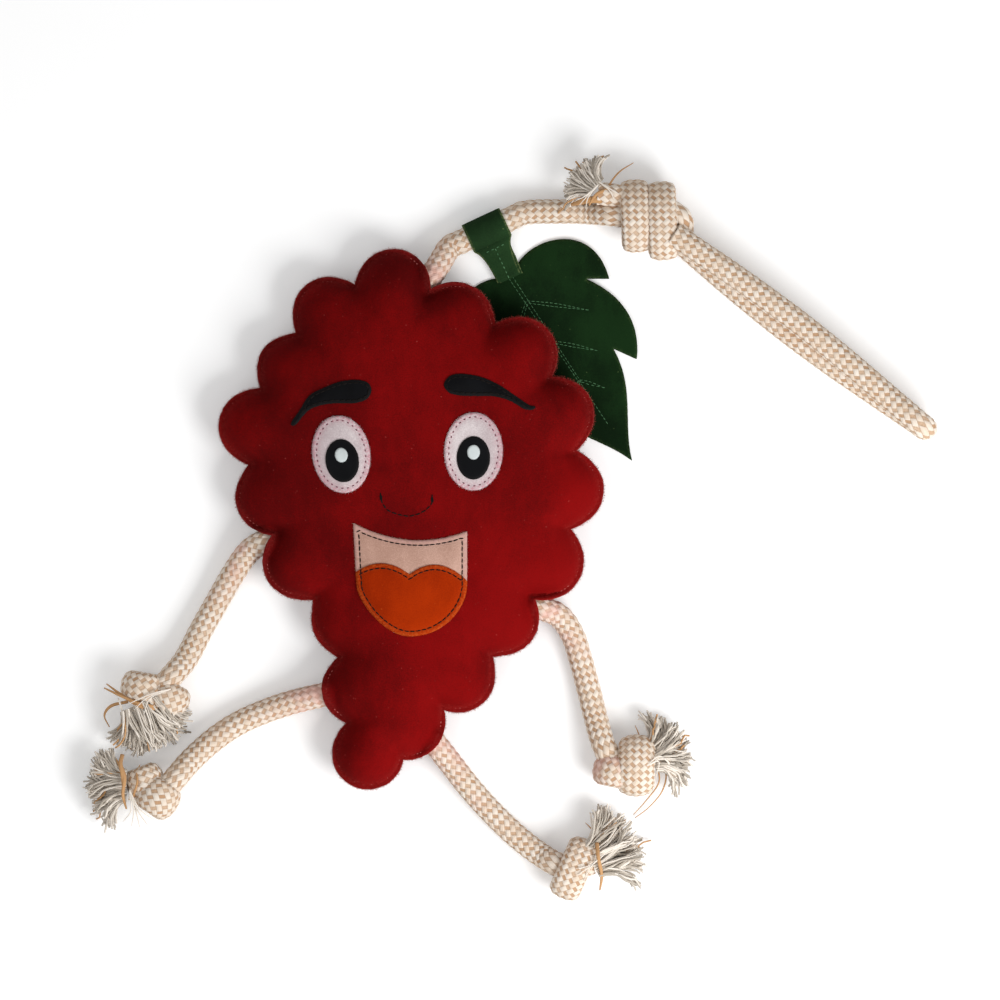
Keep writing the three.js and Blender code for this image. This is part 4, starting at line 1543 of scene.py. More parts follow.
HANGER = Hanger(
    Body.HANGER,
    swing=12,
    root=(17, 136),
    route=[(24.5, 147.5), (100, 180.5), (118, 180), (133, 178.5)],
    core=[(142, 177.5), (156, 176.5)],
    turns=[
        KnotTurn((147.2, 177.6), 92.5, 16.8, radius=9, squeeze=0.66, rise=11, boxy=0.72),
        KnotTurn((163.9, 174.6), 92.5, 18.6, radius=9.2, squeeze=0.66, rise=11, boxy=0.72),
    ],
    fray=Fray((122, 194, 24), 143, 84, 18.5, 5, drop=10, strands=240, wave=8, flank=0.6),
    ribbons=[
        Ribbon([(128, 189, 27), (131, 197, 25), (137, 205, 17), (146, 211, 9)], 0.6),
        Ribbon([(126, 187.5, 27), (119, 187.5, 28.5), (112, 186, 26), (107, 184.5, 21)], 2.2),
        Ribbon([(130, 194, 28), (123, 191, 30), (118, 184, 28)], 1.1),
        *wisps((124, 197, 30), (118, 191, 31), ((109, 186.5, 28), (112, 184, 28), (116, 182, 28))),
        *wisps((124, 199, 29), (130, 195, 31.5), ((134, 187, 29), (137, 191, 29))),
    ],
    ends={
        "hanger_knot_bight": [
            (160, 180, 20), (169, 180.5, 21), (175.5, 176, 20), (176.5, 168, 14),
        ],
        "hanger_tail": [(144, 189, 21), (133, 190.5, 22), (123.5, 191.5, 22)],
    },
    knot_height=1.24 * ROPE_DIAMETER + FLOOR_GAP,
    stain_reach=30,
)


# Stuffed body


@dataclass
class StuffedBunch:
    """The sewn and stuffed bunch of grapes."""

    grapes: Sequence[Place] = (
        (-4, 134, 23), (-44.5, 117, 22.5), (-68.5, 82, 21), (-90.5, 46, 23), (-79.5, 2, 23.5),
        (-62.5, -38.5, 23.5), (-31, -74, 24.5), (-27.5, -118, 21.5), (-20, -158.5, 22.5), (4.5, -138.5, 24),
        (36.5, -110, 23), (64, -74, 23), (90.5, -38, 24.5), (104, 6.5, 23.5), (98, 53, 23.5),
        (75, 91, 23.5), (34, 112, 24.5),
    )
    steps: int = 36
    notch_rise: float = 10.0
    notch_settle: float = 0.22
    seam_margin: float = 3.0
    seam_lift: float = 0.75
    front_crown: float = 25.5
    back_crown: float = 19.5
    front_round: float = 16.0
    back_round: float = 26.0
    sharpness: float = 0.85
    full_at: float = 34.0
    mouth: float = 8.9
    mouth_half: float = 9.2
    mouth_reach: float = 12.0
    mouth_flare: float = 0.3
    mouth_sink: float = 1.18
    leaf_at: Spot = (56.0, 70.0)
    leaf_reach: float = 36.0
    leaf_fade: float = 14.0
    leaf_room: float = 2.3
    stitch_stop: float = 3.0
    crease_depth: float = 2.4
    crease_half: float = 2.6
    crease_start: float = 4.0
    crease_reach: float = 34.0
    crease_widen: float = 14.0
    ripples: Sequence[Place] = ((26.0, 3.1, 0.9), (11.0, 8.7, 0.3))  # size, seed and height
    ripple_from: float = 9.0
    back_ripple: float = 0.6
    edge_fuzz: Sequence[Place] = ((1.7, 5.0, 0.28), (6.0, 9.0, 0.2))  # size, seed and depth
    seam_wear: float = 0.15
    wear_reach: float = 1.6
    least_gap: float = 0.15  # to the seam, so that its pull stays finite
    spacing: float = 1.7
    seam_row: Row = Row(2.7, 1.5, 0.35, 0.22)
    stitch_lift: float = 0.1
    fibre_row: Row = Row(0.8, 1.1)
    fibre_lift: float = 0.8
    flange: Sequence[Place] = (  # reach from seam to edge, height and wear
        (0.35, 1.0, 0.1), (0.75, 1.3, 0.15), (0.95, 1.22, 0.5),
        (1.0, 0.7, 0.7), (0.93, 0.12, 0.5), (0.0, 0.12, 0.1),
    )
    cloth_spacing: float = 5.5
    cloth_frames: int = 20
    cloth_hold: float = 6.0
    cloth_near: int = 14
    give: float = 4.0
    slack: float = 0.94
    cloth: dict = field(default_factory=lambda: {
        "vertex_group_mass": "seam", "quality": 6, "mass": 0.3, "tension_stiffness": 20.0,
        "compression_stiffness": 20.0, "bending_stiffness": 2.0,
        "use_pressure": True, "uniform_pressure_force": 3.0,
    })

    def __post_init__(self) -> None:
        """Finds the notches and draws the seam and the raw edge."""
        self.notches: list[tuple[Points, Points]] = []
        for k, (x, y, radius) in enumerate(self.grapes):
            nx, ny, next_radius = self.grapes[(k + 1) % len(self.grapes)]
            gap = math.hypot(nx - x, ny - y)
            along = np.array([nx - x, ny - y]) / gap
            reach = (gap**2 + radius**2 - next_radius**2) / (2 * gap)
            rise = math.sqrt(max(self.notch_rise**2, radius**2 - reach**2))
            inward = np.array([-along[1], along[0]])
            self.notches.append((np.array([x, y]) + along * reach - inward * rise, inward))
        self.seam = self.outline(self.seam_margin)
        self.edge = self.outline(0.0)

    def outline(self, inset: float) -> Points:
        """Draws the bunch's outline at a distance inside its raw edge.

        Args:
            inset: The distance.

        Returns:
            The outline's points, the same number for every grape.
        """
        points = []
        run = np.arange(self.steps) / self.steps
        for k, (x, y, radius) in enumerate(self.grapes):
            centre = np.array([x, y], dtype=float)
            ends = [at + inward * inset - centre for at, inward in (self.notches[k - 1], self.notches[k])]
            start, stop = (math.atan2(end[1], end[0]) for end in ends)
            angle = start + (stop - start) % (2 * math.pi) * run
            size = np.full(self.steps, radius - inset)
            for end, near in zip(ends, (run, 1 - run)):
                size += share(1 - near / self.notch_settle) ** 2 * (np.linalg.norm(end) - (radius - inset))
            points.append(centre + size[:, None] * np.column_stack([np.cos(angle), np.sin(angle)]))
        return np.vstack(points)

    def seam_depth(self, places: Points) -> Values:
        """Gives a soft measure of how deep places lie inside the seam.

        Args:
            places: Places inside the seam.

        Returns:
            The depths.
        """
        fine = respace(self.seam, SEWING_STEP)
        step = line_length(np.vstack([fine, fine[:1]])) / len(fine)
        found = np.empty(len(places))
        for part in chunks(len(places)):
            gap = np.linalg.norm(places[part][:, None] - fine[None], axis=2)
            found[part] = ((step / np.maximum(gap, self.least_gap) ** 3).sum(axis=1) / 2) ** -0.5
        return found

    def mouth_spread(self, places: Points, side: float = 1.0) -> Values:
        """Gives how far a panel parts round the ropes, more at the back, where they go down and swing.

        Args:
            places: Places in the plane.
            side: 1 for the front and -1 for the back.

        Returns:
            Distances from the seam's height.
        """
        spread = np.zeros(len(places))
        for rope in (*LIMBS, HANGER):
            root, after = rope.places()[:2, :2]
            heading = math.degrees(math.atan2(*(after - root)[::-1]))
            for turned in (0.0,) if side > 0 else (0.0, rope.swing / 2, rope.swing):
                way = turn(heading + turned)
                run = np.clip((places - root) @ way, 0.0, self.mouth_reach)
                gap = np.linalg.norm(places - root - run[:, None] * way, axis=1)
                half = self.mouth_half + self.mouth_flare * run
                spread = np.maximum(spread, self.mouth * bell(gap, half, 3))
        return spread if side > 0 else spread * self.mouth_sink

    def creases(self, places: Points) -> Values:
        """Gives the depth of the puckers that run inward from the notches.

        Args:
            places: Places inside the seam.

        Returns:
            The depths.
        """
        depth = np.zeros(len(places))
        for at, inward in self.notches:
            along = (places - at) @ inward - self.seam_margin
            aside = (places - at) @ np.array([inward[1], -inward[0]])
            ramp = share(along / self.crease_start) * share(1 - along / self.crease_reach) ** 1.5
            width = self.crease_half * (1 + np.maximum(along, 0.0) / self.crease_widen)
            depth = np.maximum(depth, self.crease_depth * ramp * bell(aside, width))
        return depth

    def fullness(self, depth: Values, rounding: float) -> Values:
        """Gives the share of the full crown at depths inside the seam."""
        swell = (1 - np.exp(-depth / rounding)) ** self.sharpness
        return np.minimum(1.0, swell / (1 - math.exp(-self.full_at / rounding)) ** self.sharpness)

    def heights(self, places: Points) -> tuple[Values, Values, Values]:
        """Gives the heights of the front and back faces, and the least height that the back keeps.

        Args:
            places: Places inside the seam.

        Returns:
            Heights of the front and of the back, and of the floor or leaf under it.
        """
        depth = self.seam_depth(places)
        ripple = layered_noise(places, self.ripples) * share(depth / self.ripple_from)
        front = self.front_crown * self.fullness(depth, self.front_round) + ripple - self.creases(places)
        front = np.maximum(front, self.mouth_spread(places))
        full = self.back_crown * self.fullness(depth, self.back_round)
        parted = self.mouth_spread(places, -1.0)
        back = np.maximum(full + ripple * self.back_ripple, parted)
        away = np.linalg.norm(places - np.array(self.leaf_at), axis=1) - self.leaf_reach
        room = self.leaf_room * share(1 - away / self.leaf_fade)
        above, below = SEAM_HEIGHT + self.seam_lift, SEAM_HEIGHT - self.seam_lift
        return above + front, below - back, np.maximum(room, below - np.maximum(full, parted))

    def loose(self, places: Points, level: Values) -> Points:
        """Gives a panel's points before it is inflated."""
        return np.column_stack([places, SEAM_HEIGHT + (level - SEAM_HEIGHT) * self.slack])

    def settle(self) -> Callable[[Points], tuple[Points, Points]]:
        """Inflates the panels as cloth between their seams.

        Returns:
            A function that gives how far places on the front and back move.
        """
        seam = respace(self.seam, self.cloth_spacing)
        places, faces = fill_outline(seam, self.cloth_spacing)
        count, size = len(seam), len(places)
        start = np.vstack([self.loose(places, level) for level in self.heights(places)[:2]])
        mesh = bpy.data.meshes.new("panels")
        mesh.from_pydata((start * MM).tolist(), [], [*faces, *flipped(faces, size)])
        panels = add_object("panels", mesh)
        panels.vertex_groups.new(name="seam").add([*range(count), *range(size, size + count)], 1.0, "REPLACE")
        cloth = panels.modifiers.new("cloth", "CLOTH")
        for key, value in self.cloth.items():
            setattr(cloth.settings, key, value)
        cloth.settings.effector_weights.gravity = 0.0
        cloth.point_cache.frame_start = 1
        cloth.point_cache.frame_end = self.cloth_frames
        scene = bpy.context.scene
        for number in range(1, self.cloth_frames + 1):
            scene.frame_set(number)
        settled = panels.evaluated_get(bpy.context.evaluated_depsgraph_get()).data
        moved = np.empty(len(settled.vertices) * 3, dtype=np.float32)
        settled.vertices.foreach_get("co", moved)
        shift = moved.reshape(-1, 3) / MM - start
        scene.frame_set(1)
        bpy.data.objects.remove(panels)
        far = np.linalg.norm(shift, axis=1)
        LOG.info("cloth moved %.2f mm at most, %.2f on average", far.max(), far.mean())
        shift *= np.minimum(1.0, self.give / np.maximum(far, TINY))[:, None]
        tree = KDTree(size)
        for k, (x, y) in enumerate(places):
            tree.insert((x, y, 0.0), k)
        tree.balance()

        def move(wanted: Points) -> tuple[Points, Points]:
            """Gives the front's and the back's movement at places.

            Args:
                wanted: The places.

            Returns:
                Both movements.
            """
            found = np.zeros((2, len(wanted), 3))
            for row, (x, y) in enumerate(wanted):
                _, picked, gaps = zip(*tree.find_n((x, y, 0.0), self.cloth_near))
                weight = bell(np.array(gaps), self.cloth_spacing)
                weight /= weight.sum()
                for panel in (0, 1):
                    found[panel, row] = weight @ shift[np.array(picked) + panel * size]
            return found[0], found[1]

        return move

    def build(self) -> Piece:
        """Makes the stuffed body with its seam and raw edges.

        Returns:
            The body.
        """
        places, faces = fill_outline(self.seam, self.spacing)
        count, size = len(self.seam), len(places)
        front, back, lowest = self.heights(places)
        tops, bottoms = self.loose(places, front), self.loose(places, back)
        near = edge_distance(places, self.seam)
        lift, sink = self.settle()(places)
        hold = share(near / self.cloth_hold)[:, None]
        tops, bottoms = tops + lift * hold, bottoms + sink * hold
        tops[:count, 2] = front[:count]
        bottoms[:, 2] = np.maximum(bottoms[:, 2], lowest)
        bottoms[:count, 2] = back[:count]
        points = [tops, bottoms]
        solid = [*faces, *flipped(faces, size)]
        worn = [np.tile(self.seam_wear * bell(near, self.wear_reach), 2)]
        fuzz = layered_noise(self.edge, self.edge_fuzz)
        out = self.edge - self.seam
        total, inner = 2 * size, []
        for side, ring in ((1.0, 0), (-1.0, size)):
            spread = self.mouth_spread(self.edge, side)
            for reach, lift, wear in self.flange:
                plan = self.seam + out * reach + unit(out) * (fuzz * reach)[:, None]
                points.append(np.column_stack([plan, SEAM_HEIGHT + side * (spread + lift)]))
                worn.append(np.full(count, wear))
                solid += band_faces(ring, total, count, flip=side > 0)
                ring, total = total, total + count
            inner.append(ring)
        solid += band_faces(*inner, count, flip=True)
        numbers = {"worn": np.concatenate(worn)}
        body = make_piece("stuffed_bunch", np.vstack(points), solid, Finish.RED.material(), numbers)
        dress(body, Body.GRAPES, Slot.RED, "front_panel", "back_panel", "stuffing")
        return body

    def lines_between_ropes(self, outline: Points, lift: float) -> Lines:
        """Gives an outline's lines on the front and back, from rope to rope.

        Args:
            outline: The seam or the raw edge.
            lift: Distance from where the panels meet.

        Returns:
            The lines, which are open.
        """
        closed = self.mouth_spread(outline) < self.stitch_stop
        start = int(np.flatnonzero(closed & ~np.roll(closed, 1))[0])
        outline, closed = np.roll(outline, -start, axis=0), np.roll(closed, -start)
        lines = []
        for run in np.split(np.arange(len(outline)), np.flatnonzero(np.diff(closed)) + 1):
            for side in (1.0, -1.0) if closed[run[0]] else ():
                height = SEAM_HEIGHT + side * (self.mouth_spread(outline[run], side) + lift)
                lines.append((np.column_stack([outline[run], height]), False))
        return lines

    def trim(self, sewing: Sewing, fringe: Fringe) -> None:
        """Sews the seam and sets the fibres of the raw edge.

        Args:
            sewing: What lays stitches.
            fringe: What sets fibres along cut edges.
        """
        seam = self.lines_between_ropes(self.seam, self.seam_lift + self.stitch_lift)
        sewing.lay("seam_stitches", seam, self.seam_row, Finish.SEAM_THREAD, Body.GRAPES, Slot.RED)
        edge = self.lines_between_ropes(self.edge, self.fibre_lift)
        fringe.lay("cut_edge_fibres", edge, self.fibre_row, Finish.FIBRE, Body.GRAPES, Slot.RED)


# Sewn face


@dataclass
class Applique:
    """A suede shape sewn on the face."""

    node: str
    outline: Points
    thickness: float = 1.3
    round_edge: float = 0.9
    puff: float = 0.35
    puff_reach: float = 5.0
    stitch_inset: float = 0.0
    groove: float = 0.35
    groove_half: float = 0.8
    rim: float = 1.1
    wear: float = 0.9
    step: float = 0.9
    fuzz: float = 0.14
    fuzz_size: float = 1.5
    spacing: float = 1.3
    sunk: float = 0.25

    def build(self, ground: Ground, finish: Finish, slot: Slot, seed: float) -> Piece:
        """Makes the shape and lays it on the face.

        Args:
            ground: What it lies on.
            finish: Its finish.
            slot: The record's slot for it.
            seed: Seed of its cut edge's fuzz.

        Returns:
            The piece.
        """
        outline = respace(self.outline, self.step)
        cut = self.fuzz * smooth_noise(outline, self.fuzz_size, seed)
        outline = outline + outward(outline) * cut[:, None]
        places, faces = fill_outline(outline, self.spacing)
        gap = edge_distance(places, outline)
        base = ground.height(places)
        full = 0.55 + 0.45 * round_over(gap, self.round_edge)  # the cut edge is half as thick
        top = base + self.thickness * full
        if self.stitch_inset:
            past = gap - self.stitch_inset
            top += self.puff * share(past / self.puff_reach) - self.groove * bell(past, self.groove_half)
        points, solid = slab(places, faces, len(outline), top, base - self.sunk)
        worn = np.tile(self.wear * bell(gap, self.rim), 2)
        piece = make_piece(f"{self.node}_sewn", points, solid, finish.material(), {"worn": worn})
        return dress(piece, Body.GRAPES, slot, self.node)


def ellipse(centre: Spot | Points, half: Spot, tilt: float) -> Points:
    """Draws an ellipse as a closed line.

    Args:
        centre: Its centre.
        half: Half its width and height.
        tilt: Its turn in degrees.

    Returns:
        The line.
    """
    angle = np.linspace(0.0, 2 * np.pi, 180, endpoint=False)[:, None]
    wide, tall = half[0] * np.cos(angle) * turn(tilt), half[1] * np.sin(angle) * turn(tilt + 90)
    return np.asarray(centre) + wide + tall


@dataclass
class SewnFace:
    """Eyes, brows, mouth and nose line, sewn on the front panel."""

    eyes: dict = field(default_factory=lambda: {
        "left": ((-36.5, 28.5), (18.0, 24.2), 9.0),
        "right": ((46.0, 30.3), (18.2, 24.3), -1.0),
    })
    eye_stitch: float = 2.8
    pupil_half: Spot = (10.4, 13.5)
    pupil_drop: float = 4.1
    glint_half: Spot = (4.0, 4.6)
    glint_rise: float = 3.6
    brows: dict = field(default_factory=lambda: {
        "left": [(-68, 47.5), (-62.5, 56.3), (-56.3, 65.6), (-46.9, 70.6), (-36.3, 74.4), (-25.6, 75.2),
                 (-19.5, 73.2), (-17.6, 69.0), (-20, 63.8), (-26.9, 61), (-41.3, 60.6), (-49.4, 59.4),
                 (-56.3, 56.7), (-60.6, 52.5), (-64.6, 47.6), (-66.6, 46.6)],
        "right": [(27.5, 71.9), (30, 76.9), (34.5, 78.8), (41.9, 78.8), (51.3, 76.9), (61.3, 72.5),
                  (70, 66.9), (78.1, 61.3), (81.3, 59.4), (84.8, 58.6), (83.5, 56.9), (78.1, 56.9),
                  (73.8, 59.4), (68.1, 62.5), (58.8, 65), (47.5, 65.2), (36.9, 65.6), (30.5, 67.5)],
    })
    brow_drop: float = 0.4
    brow_stitch: float = 1.9
    mouth_left: float = -29.0
    mouth_right: float = 42.0
    mouth_left_top: float = -14.4
    mouth_right_top: float = -19.4
    mouth_sag: float = -33.0
    mouth_side: float = -52.5
    mouth_taper: float = 2.0
    mouth_bottom: float = -85.0
    mouth_middle: float = 6.5
    mouth_stitch: float = 3.1
    tongue_left: Spot = (-45.0, -39.5)  # height at the side and of the bump
    tongue_right: Spot = (-50.5, -40.5)
    tongue_dip: Spot = (6.0, -46.3)
    tongue_rim: float = -0.1
    tongue_stitch: float = 3.6
    nose: Sequence[Spot] = (
        (-11.9, 3.1), (-11.2, -1.0), (-7.5, -6.25), (-1.3, -8.8), (5.0, -10.0), (11.3, -8.8), (16.9, -5.6),
        (20.0, -1.9), (20.2, 1.9),
    )
    tack: Spot = (2.2, 1.2)  # steps of the nose line, before its end and past it
    tack_gap: float = 0.4
    black_row: Row = Row(3.7, 3.8, 0.48)
    eye_row: Row = Row(3.6, 1.7, 0.4)
    eye_fibres: Row = Row(0.7, 0.7)
    mouth_fibres: Row = Row(0.8, 0.7)

    def round_end(self, inset: float) -> Points:
        """Draws the mouth's lower half, from its right side to its left.

        Args:
            inset: Distance inside the mouth's edge.

        Returns:
            The line, without its last point.
        """
        left, right = self.mouth_left + self.mouth_taper + inset, self.mouth_right - inset
        low, middle, high = self.mouth_bottom + inset, self.mouth_middle, self.mouth_side
        drop = high - low
        right_pulls = [(right, high - drop * 0.45), (middle + (right - middle) * 0.6, low)]
        left_pulls = [(middle + (left - middle) * 0.5, low), (left, high - drop * 0.3)]
        falling = bezier((right, high), right_pulls, (middle, low), 40)
        rising = bezier((middle, low), left_pulls, (left, high), 40)
        return np.vstack([falling, rising])

    def mouth_outline(self) -> Points:
        """Draws the mouth, anticlockwise.

        Returns:
            Its outline.
        """
        top_left, top_right = (self.mouth_left, self.mouth_left_top), (self.mouth_right, self.mouth_right_top)
        top = bezier(top_left, [(self.mouth_middle, self.mouth_sag)], top_right, 60)
        side = bezier(top_right, [], (self.mouth_right, self.mouth_side), 20)
        back = bezier((self.mouth_left + self.mouth_taper, self.mouth_side), [], top_left, 20)
        return np.vstack([top, side, self.round_end(0.0), back])[::-1]

    def tongue_top(self) -> Points:
        """Draws the tongue's two-bump upper edge, from left to right.

        Returns:
            The edge.
        """
        left = (self.mouth_left + self.tongue_rim + self.mouth_taper * 0.7, self.tongue_left[0])
        right = (self.mouth_right - self.tongue_rim, self.tongue_right[0])
        dip = self.tongue_dip
        pulls = [
            ((end[0] + dip[0]) / 2, 2 * bump - (end[1] + dip[1]) / 2)
            for end, bump in ((left, self.tongue_left[1]), (right, self.tongue_right[1]))
        ]
        return np.vstack([bezier(left, pulls[:1], dip, 30), bezier(dip, pulls[1:], right, 30), [right]])

    def tongue_outline(self) -> Points:
        """Draws the tongue, anticlockwise."""
        left = (self.mouth_left + self.mouth_taper + self.tongue_rim, self.mouth_side)
        return np.vstack([self.tongue_top(), self.round_end(self.tongue_rim), [left]])[::-1]

    def build(self, body: Piece, sewing: Sewing, fringe: Fringe) -> None:
        """Makes the face, its stitches and the fibres of its cut edges.

        Args:
            body: The stuffed body that the face is sewn on.
            sewing: What lays stitches.
            fringe: What sets fibres along cut edges.
        """
        skin = Ground(body)
        black, dots, eye_edges = [], [], []
        for number, (side, (centre, half, tilt)) in enumerate(self.eyes.items()):
            down = turn(tilt - 90)
            pupil_at = np.array(centre) + down * self.pupil_drop
            outline = ellipse(centre, half, tilt)
            shape = Applique(f"{side}_eye_white", outline, stitch_inset=self.eye_stitch, rim=3.6)
            white = shape.build(skin, Finish.WHITE, Slot.WHITE, 10.0 + number)
            on_white = Ground(body, white)
            shape = Applique(f"{side}_pupil", ellipse(pupil_at, self.pupil_half, tilt), 1.0, spacing=1.1)
            pupil = shape.build(on_white, Finish.BLACK, Slot.BLACK, 20.0 + number)
            glint = ellipse(pupil_at - down * self.glint_rise, self.glint_half, tilt)
            shape = Applique(f"{side}_glint", glint, 0.8, rim=0.4, spacing=0.8)
            shape.build(Ground(white, pupil), Finish.GLINT, Slot.WHITE, 30.0 + number)
            dots.append(on_white.drape(inset_line(outline, self.eye_stitch), True))
            eye_edges.append(skin.drape(outline, True, FIBRE_LIFT))
        for number, (side, points) in enumerate(self.brows.items()):
            outline = smooth_line(points, SEWING_STEP, closed=True)[::-1] - np.array([0.0, self.brow_drop])
            shape = Applique(f"{side}_brow", outline, 1.2, stitch_inset=self.brow_stitch, groove=0.2)
            brow = shape.build(skin, Finish.BLACK, Slot.BLACK, 40.0 + number)
            black.append(Ground(body, brow).drape(inset_line(outline, self.brow_stitch), True))
        mouth_line = self.mouth_outline()
        shape = Applique("mouth_patch", mouth_line, stitch_inset=self.mouth_stitch, rim=2.6)
        mouth = shape.build(skin, Finish.CREAM, Slot.CREAM, 50.0)
        shape = Applique("tongue_patch", self.tongue_outline(), 1.2, stitch_inset=self.mouth_stitch, rim=2.4)
        tongue = shape.build(Ground(body, mouth), Finish.ORANGE, Slot.ORANGE, 60.0)
        on_tongue = Ground(mouth, tongue)
        mouth_edge = respace(mouth_line, SEWING_STEP)
        black.append(on_tongue.drape(inset_line(mouth_edge, self.mouth_stitch), True))
        top = self.tongue_top() - np.array([0.0, self.mouth_stitch])
        first, last = self.mouth_left + self.tongue_stitch, self.mouth_right - self.tongue_stitch
        within = (top[:, 0] > first) & (top[:, 0] < last)
        black.append(on_tongue.drape(resample(top[within], SEWING_STEP), False))
        black += [skin.drape(line, False) for line in self.nose_lines()]
        thread = Finish.BLACK_THREAD
        sewing.lay("mouth_and_nose_stitches", black, self.black_row, thread, Body.GRAPES, Slot.BLACK)
        sewing.lay("eye_stitches", dots, self.eye_row, Finish.EYE_THREAD, Body.GRAPES, Slot.WHITE)
        fringe.lay("eye_fibres", eye_edges, self.eye_fibres, Finish.WHITE, Body.GRAPES, Slot.WHITE)
        low = mouth_edge[:, 1] < self.tongue_left[0]
        for name, part, finish, slot in (
            ("mouth_fibres", ~low, Finish.CREAM, Slot.CREAM),
            ("tongue_fibres", low, Finish.ORANGE, Slot.ORANGE),
        ):
            start = np.flatnonzero(part & ~np.roll(part, 1))[0]
            line = skin.drape(np.roll(mouth_edge, -start, axis=0)[: part.sum()], False, FIBRE_LIFT)
            fringe.lay(name, [line], self.mouth_fibres, finish, Body.GRAPES, slot)

    def nose_lines(self) -> list[Points]:
        """Draws the nose and the two tacks at each of its ends.

        Returns:
            The lines.
        """
        nose = smooth_line(self.nose, SEWING_STEP)
        lines = [nose]
        before, past = self.tack
        for end, ahead in ((nose[0], nose[0] - nose[1]), (nose[-1], nose[-1] - nose[-2])):
            for off in (-self.tack_gap, self.tack_gap):
                at = end + unit(np.array([-ahead[1], ahead[0]])) * off
                lines.append(resample(np.array([at - ahead * before, at + ahead * past]), SEWING_STEP))
        return lines


# Leaf


